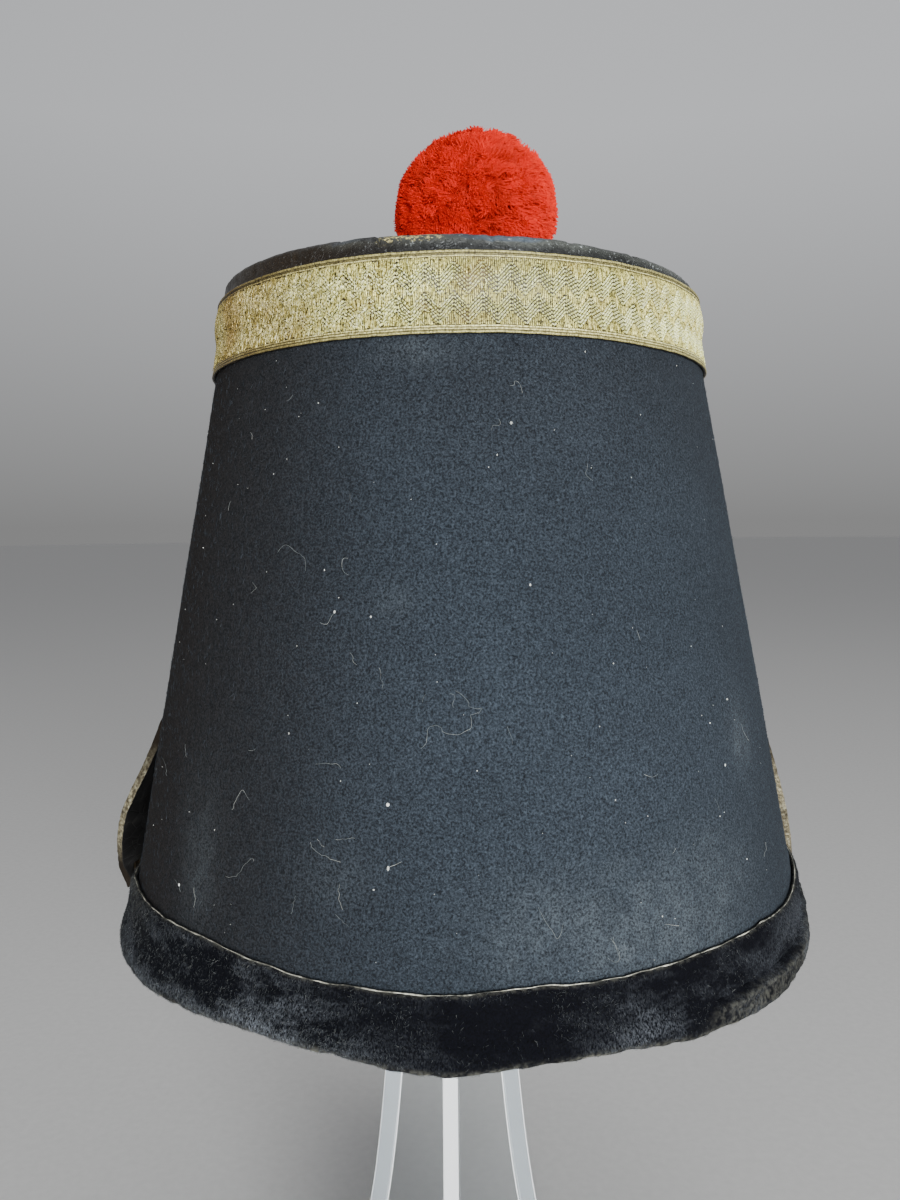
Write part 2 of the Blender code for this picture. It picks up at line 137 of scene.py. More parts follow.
def finishPiece(name, bm, finishes, stands=(), sharp=60):
    mesh = bpy.data.meshes.new(name)
    bm.to_mesh(mesh)
    bm.free()
    mesh.shade_smooth()
    mesh.set_sharp_from_angle(angle=math.radians(sharp))
    for finish in finishes:
        mesh.materials.append(finish)
    piece = bpy.data.objects.new(name, mesh)
    bpy.context.collection.objects.link(piece)
    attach(piece, "root")
    if stands:
        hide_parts(*stands)
    return piece


def addNeedles(places, sides=3, batch=400):  # straight tapered fibres: (root, tip, width at the root)
    whole = bmesh.new()
    for start in range(0, len(places), batch):
        part = bmesh.new()
        for root, tip, width in places[start:start + batch]:
            way = tip - root
            turned = way.to_track_quat("Z", "X").to_matrix().to_4x4()
            bmesh.ops.create_cone(part, cap_ends=True, segments=sides, radius1=width, radius2=0,
                                  depth=way.length, matrix=Matrix.Translation((root + tip) / 2) @ turned)
        mesh = bpy.data.meshes.new("batch")
        part.to_mesh(mesh)
        part.free()
        whole.from_mesh(mesh)
        bpy.data.meshes.remove(mesh)
    return whole


# Finishes
def tint(red, green, blue):
    return (*(c / 255 / 12.92 if c < 11 else ((c / 255 + 0.055) / 1.055) ** 2.4
              for c in (red, green, blue)), 1)


def newFinish(name, sockets):
    finish = bpy.data.materials.new(name)
    finish.use_nodes = True
    shader = finish.node_tree.nodes["Principled BSDF"]
    for key, value in sockets.items():
        shader.inputs[key].default_value = value
    return finish, finish.node_tree, shader


def addNode(tree, kind, inputs, **settings):
    made = tree.nodes.new("ShaderNode" + kind)
    for key, value in settings.items():
        setattr(made, key, value)
    for key, value in inputs.items():
        if isinstance(value, bpy.types.NodeSocket):
            tree.links.new(value, made.inputs[key])
        else:
            made.inputs[key].default_value = value
    return made


def placeOn(tree, kind="Object"):
    return addNode(tree, "TexCoord", {}).outputs[kind]


def grain(tree, place, scale, detail=2.0, rough=0.5, stretch=None, warp=0.0):
    if stretch:
        place = addNode(tree, "Mapping", {"Vector": place, "Scale": stretch}).outputs[0]
    return addNode(tree, "TexNoise", {"Vector": place, "Scale": scale, "Detail": detail,
                                      "Roughness": rough, "Distortion": warp}).outputs["Fac"]


def ramp(tree, value, *stops):
    made = addNode(tree, "ValToRGB", {"Fac": value})
    points = made.color_ramp.elements
    for i, (place, colour) in enumerate(stops):
        point = points[i] if i < 2 else points.new(place)
        point.position = place
        point.color = colour if isinstance(colour, tuple) else (colour, colour, colour, 1)
    return made.outputs["Color"]


def blendTints(tree, share, first, second, mode="MIX"):
    return addNode(tree, "Mix", {0: share, 6: first, 7: second}, data_type="RGBA",
                   blend_type=mode).outputs[2]


def reckon(tree, operation, first, second=0.0):
    return addNode(tree, "Math", {0: first, 1: second}, operation=operation).outputs[0]


def readLayer(tree, name):
    return addNode(tree, "Attribute", {}, attribute_name=name).outputs["Fac"]


def raiseBy(tree, shader, height, distance, strength=1.0):
    bump = addNode(tree, "Bump", {"Height": height, "Distance": distance, "Strength": strength})
    tree.links.new(bump.outputs[0], shader.inputs["Normal"])


def feedTo(tree, shader, socket, value):
    tree.links.new(value, shader.inputs[socket])


feltLook = {
    "dark": tint(23, 26, 30),
    "body": tint(44, 50, 57),
    "light": tint(63, 72, 81),
    "hair": tint(82, 92, 102),
    "rubbed": tint(96, 103, 108),
    # tones of the painted shade on the left and towards the top
    "paintedShade": (tint(13, 11, 10), tint(40, 36, 34)),
    # tint of the painted warm bounce light on the far left
    "paintedWarmBounce": tint(255, 226, 202),
    "napScale": 2300,
    "cloudScale": 17,
}


def makeFeltFinish():
    look = feltLook
    finish, tree, shader = newFinish("feltWool", {
        "Roughness": 0.95, "Specular IOR Level": 0.15, "Sheen Weight": 0.025, "Sheen Roughness": 0.5,
        "Sheen Tint": tint(160, 168, 180)})
    place = placeOn(tree)
    nap = grain(tree, place, look["napScale"], 2, 0.7)
    fine = grain(tree, place, look["napScale"] * 2, 2, 0.6)
    hair = grain(tree, place, look["napScale"] * 0.9, 2, 0.5, stretch=(1.3, 1.3, 0.6), warp=0.8)
    cloud = grain(tree, place, look["cloudScale"], 4, 0.6)
    pills = grain(tree, place, 900, 2, 0.6, warp=0.6)
    streaks = grain(tree, place, 300, 3, 0.6, stretch=(1, 1, 0.7))
    wool = ramp(tree, nap, (0.32, look["dark"]), (0.5, look["body"]), (0.68, look["light"]))
    wool = blendTints(tree, ramp(tree, hair, (0.6, 0.0), (0.74, 0.5)), wool, look["hair"])
    shadeOf = ramp(tree, cloud, (0.3, 0.8), (0.7, 1.14))
    wool = blendTints(tree, 1.0, wool, shadeOf, "MULTIPLY")
    # painted shade, dark and warm, on the hat's left and towards the top
    paintedShadeDark, paintedShadeLight = look["paintedShade"]
    wool = blendTints(tree, reckon(tree, "MULTIPLY", readLayer(tree, "paintedShade"), 0.8), wool,
                      ramp(tree, reckon(tree, "ADD", reckon(tree, "MULTIPLY", nap, 0.6),
                                        reckon(tree, "MULTIPLY", pills, 0.4)), (0.4, paintedShadeDark), (0.6, paintedShadeLight)))
    # painted warm bounce light on the far left
    wool = blendTints(tree, readLayer(tree, "paintedWarmBounce"), wool, look["paintedWarmBounce"], "MULTIPLY")
    rub = reckon(tree, "MULTIPLY", readLayer(tree, "rub"), ramp(tree, nap, (0.35, 0.1), (0.62, 1.0)))
    rub = reckon(tree, "MULTIPLY", rub, ramp(tree, streaks, (0.34, 0.5), (0.66, 1.15)))
    wool = blendTints(tree, rub, wool, look["rubbed"])
    feedTo(tree, shader, "Base Color", wool)
    height = reckon(tree, "ADD", reckon(tree, "ADD", nap, reckon(tree, "MULTIPLY", fine, 0.5)), pills)
    raiseBy(tree, shader, height, 0.34 * mm, 0.95)
    return finish


napLook = {"tints": (tint(26, 29, 33), tint(60, 67, 75), tint(112, 120, 126))}


def makeNapFinish():
    finish, tree, shader = newFinish("feltNap", {"Roughness": 0.8, "Specular IOR Level": 0.2})
    dark, body, light = napLook["tints"]
    tone = readLayer(tree, "tone")
    worn = grain(tree, placeOn(tree), 60, 2)
    colour = ramp(tree, tone, (0.0, dark), (0.6, body), (1.0, light))
    feedTo(tree, shader, "Base Color", blendTints(tree, worn, colour, body))
    return finish


laceLook = {
    # dark, middle and light tones
    # the ground is near black: painted shade in the gaps between the threads
    "ground": (tint(16, 13, 7), tint(40, 35, 20), tint(70, 62, 38)),
    # the field is darker than the raised thread: painted shade on the low field
    "field": (tint(48, 42, 18), tint(182, 173, 94), tint(252, 244, 150)),
    "raised": (tint(140, 136, 68), tint(255, 255, 162), tint(255, 255, 206)),
    # tarnish colour, used also for the painted shade on the left
    "tarnishAndShade": tint(140, 103, 31),
    "grime": tint(84, 76, 48),
    # border rib tones: painted shade in the grooves, painted highlight on the rib tops
    "edges": (tint(54, 46, 26), tint(184, 174, 110), tint(252, 247, 180)),
}


def makeLaceFinish(name, part):
    look = laceLook
    finish, tree, shader = newFinish(name, {
        "Specular IOR Level": 0.5})
    place, lie = placeOn(tree), placeOn(tree, "UV")
    speck = grain(tree, place, 1900, 2, 0.7)
    patch = grain(tree, place, 75, 4, 0.65)
    wide = grain(tree, place, 24, 3, 0.5)
    dark, middle, light = look[part]
    colour = ramp(tree, speck, (0.34, dark), (0.45, middle), (0.58, light))
    colour = blendTints(tree, ramp(tree, patch, (0.52, 0.0), (0.74, 0.4)), colour, look["tarnishAndShade"])
    colour = blendTints(tree, ramp(tree, wide, (0.5, 0.0), (0.72, 0.25)), colour, look["grime"])
    height = speck
    if part == "ground":
        twist = grain(tree, lie, 2.2, 2, 0.6, stretch=(1, 0.5, 1), warp=0.5)
        dull, middle, bright = look["edges"]
        # painted shade in the border grooves and painted highlight on the rib tops
        rib = reckon(tree, "MULTIPLY", readLayer(tree, "rib"), ramp(tree, twist, (0.32, 0.3), (0.6, 1.0)))
        colour = blendTints(tree, readLayer(tree, "border"), colour,
                            ramp(tree, rib, (0.05, dull), (0.5, middle), (0.95, bright)))
        height = reckon(tree, "ADD", speck, twist)
    # darker and browner towards the left: tarnish together with painted shade and warm bounce light
    colour = blendTints(tree, reckon(tree, "MULTIPLY", readLayer(tree, "old"), 0.95), colour, look["tarnishAndShade"],
                        "MULTIPLY")
    feedTo(tree, shader, "Base Color", colour)
    feedTo(tree, shader, "Roughness", ramp(tree, speck, (0.3, 0.6), (0.7, 0.34)))
    feedTo(tree, shader, "Metallic", ramp(tree, grain(tree, place, 2600, 2, 0.6), (0.52, 0.0), (0.62, 0.75)))
    raiseBy(tree, shader, height, 0.12 * mm, 0.9)
    return finish


velvetLook = {
    "deep": tint(2, 2, 4),
    "pile": tint(9, 10, 17),
    "crushed": tint(124, 129, 136),
    "olive": tint(104, 103, 94),
    "hem": tint(150, 147, 132),
    "cream": tint(226, 222, 204),
    "fuzz": (tint(46, 48, 50), tint(80, 83, 85), tint(148, 150, 145)),
}


def makeVelvetFinish():  # near black, with thin pale fibres where the pile is crushed
    look = velvetLook
    finish, tree, shader = newFinish("silkVelvet", {
        "Roughness": 0.85, "Specular IOR Level": 0.08, "Sheen Weight": 0.03, "Sheen Roughness": 0.4,
        "Sheen Tint": tint(110, 120, 142)})
    place = placeOn(tree)
    pile = grain(tree, place, 2600, 3, 0.75)
    fibres = grain(tree, place, 3400, 3, 0.7, stretch=(1, 1, 0.45), warp=0.5)
    crush = grain(tree, place, 60, 6, 0.7, stretch=(0.85, 0.85, 2.0))
    flecks = grain(tree, place, 900, 2, 0.6)
    cloth = ramp(tree, pile, (0.35, look["deep"]), (0.65, look["pile"]))
    low = readLayer(tree, "hem")
    where = reckon(tree, "MULTIPLY", ramp(tree, crush, (0.45, 0.03), (0.6, 1.0)),
                   ramp(tree, low, (0.05, 0.1), (0.6, 1.0)))
    where = reckon(tree, "MULTIPLY", where, ramp(tree, fibres, (0.42, 0.0), (0.66, 0.9)))
    cloth = blendTints(tree, where, cloth, look["crushed"])
    wear = reckon(tree, "MULTIPLY", readLayer(tree, "wear"), ramp(tree, flecks, (0.4, 0.05), (0.66, 0.85)))
    cloth = blendTints(tree, wear, cloth, ramp(tree, readLayer(tree, "wear"), (0.75, look["olive"]), (1.0, look["hem"])))
    feedTo(tree, shader, "Base Color", cloth)
    bumps = reckon(tree, "ADD", reckon(tree, "MULTIPLY", crush, 2.0), reckon(tree, "MULTIPLY", fibres, 0.7))
    raiseBy(tree, shader, bumps, 0.4 * mm, 0.7)
    return finish


def makeEdgeFinish():  # the worn selvedge that shows as a pale line above the velvet
    finish, tree, shader = newFinish("velvetSelvedge", {"Roughness": 0.8, "Specular IOR Level": 0.2})
    place = placeOn(tree)
    worn = grain(tree, place, 160, 4, 0.7)
    colour = ramp(tree, worn, (0.4, tint(60, 60, 56)), (0.5, tint(160, 158, 146)), (0.62, velvetLook["cream"]))
    colour = blendTints(tree, ramp(tree, grain(tree, place, 900), (0.45, 0.0), (0.7, 0.6)), colour,
                        tint(58, 56, 48))
    feedTo(tree, shader, "Base Color", colour)
    raiseBy(tree, shader, worn, 0.2 * mm)
    return finish


def makeLeatherFinish(name, body, worn, rough, coat=0.0):
    finish, tree, shader = newFinish(name, {
        "Specular IOR Level": 0.5, "Coat Weight": coat, "Coat Roughness": 0.12})
    place = placeOn(tree)
    pores = addNode(tree, "TexVoronoi", {"Vector": place, "Scale": 900}, feature="F1").outputs["Distance"]
    cracks = addNode(tree, "TexVoronoi", {"Vector": place, "Scale": 260, "Randomness": 1.0},
                     feature="DISTANCE_TO_EDGE").outputs["Distance"]
    scuff = grain(tree, place, 110, 4, 0.7)
    cloud = grain(tree, place, 26, 3)
    colour = ramp(tree, cloud, (0.3, body), (0.7, tuple(c * 1.7 for c in body[:3]) + (1,)))
    colour = blendTints(tree, ramp(tree, scuff, (0.58, 0.0), (0.78, 0.55)), colour, worn)
    feedTo(tree, shader, "Base Color", colour)
    feedTo(tree, shader, "Roughness", ramp(tree, scuff, (0.3, rough), (0.75, min(rough + 0.35, 1.0))))
    lines = ramp(tree, cracks, (0.0, 0.0), (0.05, 1.0))
    raiseBy(tree, shader, reckon(tree, "ADD", reckon(tree, "MULTIPLY", pores, 0.4), lines), 0.12 * mm, 0.6)
    return finish


# grey and bluish tones of the dulled glaze with its painted highlight, the painted warm bounce light, and the painted
# glints
patentLook = {"black": tint(8, 8, 9), "bloomAndHighlight": tint(108, 111, 104), "blue": tint(92, 104, 116), "paintedWarmBounce": tint(44, 34, 22),
              "gold": tint(206, 190, 124), "paintedGlint": tint(178, 184, 184)}


def makePatentFinish():  # glazed leather that has cracked and dulled, with flecks of old gilding; a painted bluish highlight and painted glints lie along the rim, and painted warm bounce light on the left
    look = patentLook
    finish, tree, shader = newFinish("patentLeather", {
        "Specular IOR Level": 0.42, "Coat Weight": 0.1, "Coat Roughness": 0.3})
    place = placeOn(tree)
    bent = blendTints(tree, 0.93, addNode(tree, "TexNoise", {"Vector": place, "Scale": 160}).outputs["Color"], place)
    crackle = addNode(tree, "TexVoronoi", {"Vector": bent, "Scale": 120}, feature="DISTANCE_TO_EDGE")
    lines = ramp(tree, crackle.outputs["Distance"], (0.0, 0.35), (0.04, 1.0))
    wrinkles = grain(tree, place, 240, 4, 0.65, warp=1.5)
    cloud = grain(tree, place, 55, 4, 0.6)
    speck = grain(tree, place, 1300, 2, 0.7)
    # the dulled glaze carries a painted bluish highlight along the top of the rim
    bloomAndHighlightLayer = readLayer(tree, "bloomAndHighlight")
    bloomAndHighlight = reckon(tree, "MULTIPLY", bloomAndHighlightLayer, ramp(tree, cloud, (0.36, 0.1), (0.6, 1.0)))
    colour = blendTints(tree, bloomAndHighlight, look["black"], ramp(tree, bloomAndHighlightLayer, (0.6, look["bloomAndHighlight"]), (0.9, look["blue"])))
    # painted glints: small bright flecks on the dulled glaze
    paintedGlints = reckon(tree, "MULTIPLY", ramp(tree, speck, (0.62, 0.0), (0.7, 0.9)), reckon(tree, "ADD", bloomAndHighlight, 0.3))
    colour = blendTints(tree, paintedGlints, colour, look["paintedGlint"])
    # painted warm bounce light on the left
    colour = blendTints(tree, reckon(tree, "MULTIPLY", readLayer(tree, "paintedShade"), 0.8), colour, look["paintedWarmBounce"])
    gilt = reckon(tree, "MULTIPLY", readLayer(tree, "gilt"), ramp(tree, speck, (0.5, 0.0), (0.6, 1.0)))
    colour = blendTints(tree, gilt, colour, look["gold"])
    feedTo(tree, shader, "Base Color", colour)
    feedTo(tree, shader, "Roughness", ramp(tree, wrinkles, (0.3, 0.3), (0.7, 0.68)))
    height = reckon(tree, "ADD", reckon(tree, "MULTIPLY", lines, 0.3), wrinkles)
    raiseBy(tree, shader, height, 0.5 * mm, 0.9)
    return finish


woolLook = {
    "middle": Vector((8.8, 70.5, 342.2)) * mm,
    # root is darker: painted shade deep in the wool
    "root": tint(214, 36, 26),
    "mid": tint(232, 38, 25),
    "tip": tint(230, 36, 22),
    # darker red of duller locks, also the painted shade in the creases
    "old": tint(160, 40, 24),
}


def makeWoolFinish():
    look = woolLook
    finish, tree, shader = newFinish("pompomWool", {
        "Roughness": 0.85, "Specular IOR Level": 0.1, "Subsurface Weight": 0.3, "Subsurface Radius": (1.0, 0.2, 0.1),
        "Subsurface Scale": 1.2 * mm})
    place = placeOn(tree)
    away = addNode(tree, "VectorMath", {0: place, 1: look["middle"]}, operation="DISTANCE").outputs["Value"]
    depth = addNode(tree, "MapRange", {"Value": away, "From Min": 19.5 * mm, "From Max": 26.0 * mm}).outputs[0]
    # darker towards the roots: painted shade deep in the wool
    colour = ramp(tree, depth, (0.0, look["root"]), (0.55, look["mid"]), (1.0, look["tip"]))
    tone = readLayer(tree, "tone")
    colour = blendTints(tree, ramp(tree, tone, (0.0, 0.6), (0.36, 0.0)), colour, look["old"])
    cloud = grain(tree, place, 90, 3)
    colour = blendTints(tree, ramp(tree, cloud, (0.52, 0.0), (0.74, 0.45)), colour, look["old"])
    feedTo(tree, shader, "Base Color", colour)
    return finish


def makeMetalFinish(name, body, worn, rough):
    finish, tree, shader = newFinish(name, {"Metallic": 0.85})
    place = placeOn(tree)
    spots = grain(tree, place, 420, 4, 0.7)
    cloud = grain(tree, place, 120, 3)
    colour = blendTints(tree, ramp(tree, spots, (0.45, 0.0), (0.65, 0.8)), body, worn)
    feedTo(tree, shader, "Base Color", colour)
    feedTo(tree, shader, "Roughness", ramp(tree, cloud, (0.3, rough), (0.7, rough + 0.25)))
    raiseBy(tree, shader, spots, 0.1 * mm, 0.6)
    return finish


def makeAcrylicFinish(name, clear, rough, hue=(0.95, 0.98, 0.99, 1)):
    finish, tree, shader = newFinish(name, {
        "Base Color": hue, "Transmission Weight": clear, "IOR": 1.49,
        "Specular IOR Level": 0.5})
    haze = grain(tree, placeOn(tree), 34, 3, 0.6)
    feedTo(tree, shader, "Roughness", ramp(tree, haze, (0.4, rough), (0.8, rough + 0.06)))
    return finish


def makeFloorFinish():
    finish, tree, shader = newFinish("studioFloor", {"Roughness": 0.85, "Specular IOR Level": 0.2})
    speck = grain(tree, placeOn(tree), 300, 3)
    feedTo(tree, shader, "Base Color", ramp(tree, speck, (0.3, tint(222, 220, 217)), (0.7, tint(228, 226, 223))))
    return finish


# Camera
camera = {
    "place": Vector((7.2, -265.9, 242.6)) * mm,
    "pitch": 0.0773,
    "yaw": -0.0239,
    "roll": -0.0106,
    "lens": 30.0,
}


def makeCamera():
    pitch, yaw, roll = camera["pitch"], camera["yaw"], camera["roll"]
    ahead = Vector((math.sin(yaw) * math.cos(pitch), math.cos(yaw) * math.cos(pitch), -math.sin(pitch)))
    level = Vector((math.cos(yaw), -math.sin(yaw), 0))
    above = level.cross(ahead)
    right = math.cos(roll) * level + math.sin(roll) * above
    up = math.cos(roll) * above - math.sin(roll) * level
    data = bpy.data.cameras.new("photoCamera")
    data.lens, data.sensor_width, data.sensor_fit = camera["lens"], 36, "AUTO"
    data.clip_start, data.clip_end = 0.01, 50
    made = bpy.data.objects.new("photoCamera", data)
    made.matrix_world = Matrix.Translation(camera["place"]) @ Matrix((right, up, -ahead)).transposed().to_4x4()
    bpy.context.collection.objects.link(made)
    bpy.context.scene.camera = made


studio = {
    "floorSize": 14.0,
    "horizon": (0.25, 0.25, 0.25, 1),
    "pale": (0.60, 0.61, 0.63, 1),
    "dim": (0.13, 0.13, 0.13, 1),
    "zenith": (0.3, 0.31, 0.33, 1),
    "dimSide": (-0.2, -0.98, 0.0),
    # name, place, size, power, colour
    "lamps": (("windowRight", (0.4, -1.42, 0.28), 0.8, 49, (0.95, 0.98, 1.0)),
              ("topSoft", (0.3, -0.3, 1.9), 1.4, 6, (1.0, 1.0, 1.0))),
    "aim": Vector((0.0, 0.0, 0.22)),
}


def makeSky():  # a pale studio wall behind the hat, dimmer overhead and behind the camera
    world = bpy.data.worlds.new("studio")
    world.use_nodes = True
    tree = world.node_tree
    way = placeOn(tree, "Generated")
    facing = addNode(tree, "VectorMath", {0: way, 1: studio["dimSide"]}, operation="DOT_PRODUCT").outputs["Value"]
    facing = reckon(tree, "ADD", reckon(tree, "MULTIPLY", facing, 0.5), 0.5)
    rise = addNode(tree, "SeparateXYZ", {0: way}).outputs["Z"]
    away = ramp(tree, facing, (0.03, 0.0), (0.42, 1.0), (0.2, 0.24))
    sky, low = (blendTints(tree, away, studio[key], studio["dim"]) for key in ("pale", "horizon"))
    sky = blendTints(tree, ramp(tree, rise, (0.45, 0.0), (0.85, 1.0)), sky, studio["zenith"])
    sky = blendTints(tree, ramp(tree, rise, (0.0, 0.0), (0.35, 1.0)), low, sky)
    tree.links.new(sky, tree.nodes["Background"].inputs["Color"])
    bpy.context.scene.world = world


def makeStudio():
    bm = bmesh.new()
    bmesh.ops.create_circle(bm, cap_ends=True, radius=studio["floorSize"], segments=96)
    mesh = bpy.data.meshes.new("floor")
    bm.to_mesh(mesh)
    bm.free()
    mesh.materials.append(makeFloorFinish())
    floor = bpy.data.objects.new("floor", mesh)
    bpy.context.collection.objects.link(floor)
    makeSky()
    for name, place, size, power, colour in studio["lamps"]:
        data = bpy.data.lights.new(name, "AREA")
        data.size, data.energy, data.color = size, power, colour
        lamp = bpy.data.objects.new(name, data)
        lamp.location = place
        lamp.rotation_euler = (studio["aim"] - Vector(place)).to_track_quat("-Z", "Y").to_euler()
        bpy.context.collection.objects.link(lamp)


# The velvet band's two edges wander: turn, top edge, lower edge, bulge of the hem
velvetRows = ((-180, 13.0, -0.3, 2.6), (-115, 11.4, -0.8, 2.2), (-92, 7.6, -1.8, 1.7),
              (-78, 10.4, -2.4, 1.8), (-65, 13.8, -1.9, 2.3), (-52, 14.2, -1.0, 2.6), (-38, 15.0, 0.6, 2.6), (-28, 14.1, 1.4, 2.6),
              (-18, 12.9, 0.9, 2.6), (-2, 12.4, -1.3, 2.8), (10, 13.4, 0.0, 2.7),
              (18, 13.0, 0.3, 2.6), (32, 13.4, -1.1, 2.8), (48, 13.2, -2.1, 2.8),
              (60, 12.2, -1.8, 2.5), (76, 13.0, -1.6, 1.9), (110, 13.4, -0.5, 2.4),
              (180, 13.0, -0.3, 2.6))


def velvetTop(turn):
    return readRows(velvetRows, turn, 1) * mm + 0.24 * mm * wobble(turn, 0, 4 * mm, 3.1)


def velvetFoot(turn):
    return readRows(velvetRows, turn, 2) * mm


def hemBulge(turn):
    return readRows(velvetRows, turn, 3) * mm


feltShell = {
    "radius": 80 * mm,
    "steps": 260,
    "foot": 1.8 * mm,
    "top": 152.4 * mm,
    "rows": 68,
    "rowsInside": 18,
    "dent": 0.2 * mm,
    "dentSize": 30 * mm,
    # rubbed places: turn, height, reach in turn, reach in height, strength
    "rubs": ((-41.7, 26, 4, 11, 0.5), (-44, 38, 6, 12, 0.18), (52.4, 51, 3.5, 7, 0.7),
             (36, 24, 12, 11, 0.62), (14, 22, 11, 10, 0.55), (-6, 131, 7, 2.5, 0.5), (-17, 31, 5, 5, 0.25),
             (-10, 83, 3, 3, 0.35), (28, 16, 10, 5, 0.5), (150, 40, 9, 14, 0.4), (-120, 60, 8, 20, 0.3)),
}


def makeFelt():
    shell = feltShell
    climb = (shell["top"] - shell["foot"]) / shell["rows"]
    outer = [(0, shell["foot"] + climb * i) for i in range(shell["rows"] + 1)]
    climbIn = (shell["top"] - shell["foot"]) / shell["rowsInside"]
    inner = [(-hat["felt"], shell["top"] - climbIn * i) for i in range(shell["rowsInside"] + 1)]
    bm = spinTube(outer + inner, shell["steps"], shell["radius"])
    rub, paintedShade, paintedWarmBounce = (bm.verts.layers.float.new(name) for name in ("rub", "paintedShade", "paintedWarmBounce"))
    for v in bm.verts:
        turn, height, out = readTube(v.co, shell["radius"])
        v[rub] = sum(power * math.exp(-((turn - at) / wide) ** 2 - ((height / mm - level) / tall) ** 2)
                     for at, level, wide, tall, power in shell["rubs"])
        v[rub] = min(v[rub] * (0.55 + 0.9 * abs(wobble(turn, height, 5 * mm, 8.0))), 1.0)
        # painted shade: the felt is darker on the hat's left, away from the lamp, and towards the top
        v[paintedShade] = max(leftShare(turn), 0.35 * softStep((height / mm - 80) / 60))
        # painted warm bounce light on the far left
        v[paintedWarmBounce] = softStep((-42 - turn) / 24) * softStep((turn + 150) / 50)
        height += velvetFoot(turn) * max(0.0, 1 - height / (25 * mm))
        dent = shell["dent"] * wobble(turn, height, shell["dentSize"], 1.7)
        dent *= softStep((145 * mm - height) / (30 * mm))
        v.co = onHat(turn, height, out + dent)
    bmesh.ops.recalc_face_normals(bm, faces=bm.faces)
    return finishPiece("feltShell", bm, [makeFeltFinish()], ["felt_body"])


feltNap = {"count": 26000, "length": (0.5, 1.9), "width": (0.022, 0.05), "seed": 11,
           "low": 12.5, "high": 134}


def makeNap():  # short loose hairs that lie on the felt
    nap, draw = feltNap, random.Random(feltNap["seed"])
    places, tones = [], []
    for _ in range(nap["count"]):
        turn = draw.uniform(-180, 180)
        height = mixOf(nap["low"], nap["high"], draw.random() ** 1.15) * mm
        out = faceOut(turn, height)
        side = Vector((0, 0, 1)).cross(out).normalized()
        up = out.cross(side)
        lean = draw.gauss(math.pi / 2, 1.1)
        way = side * math.cos(lean) + up * math.sin(lean)
        length = draw.uniform(*nap["length"]) * mm
        root = onHat(turn, height, feltShell["dent"] * wobble(turn, height, feltShell["dentSize"], 1.7))
        tip = root + way * length + out * draw.uniform(0.05, 0.3) * mm
        places.append((root, tip, draw.uniform(*nap["width"]) * mm))
        # the nap is darker on the left: painted shade
        tones += [draw.random() ** 1.6 * (1 - 0.6 * leftShare(turn))] * 4
    piece = finishPiece("feltNap", addNeedles(places), [makeNapFinish()])
    piece.data.attributes.new("tone", "FLOAT", "POINT").data.foreach_set("value", tones)
    return piece


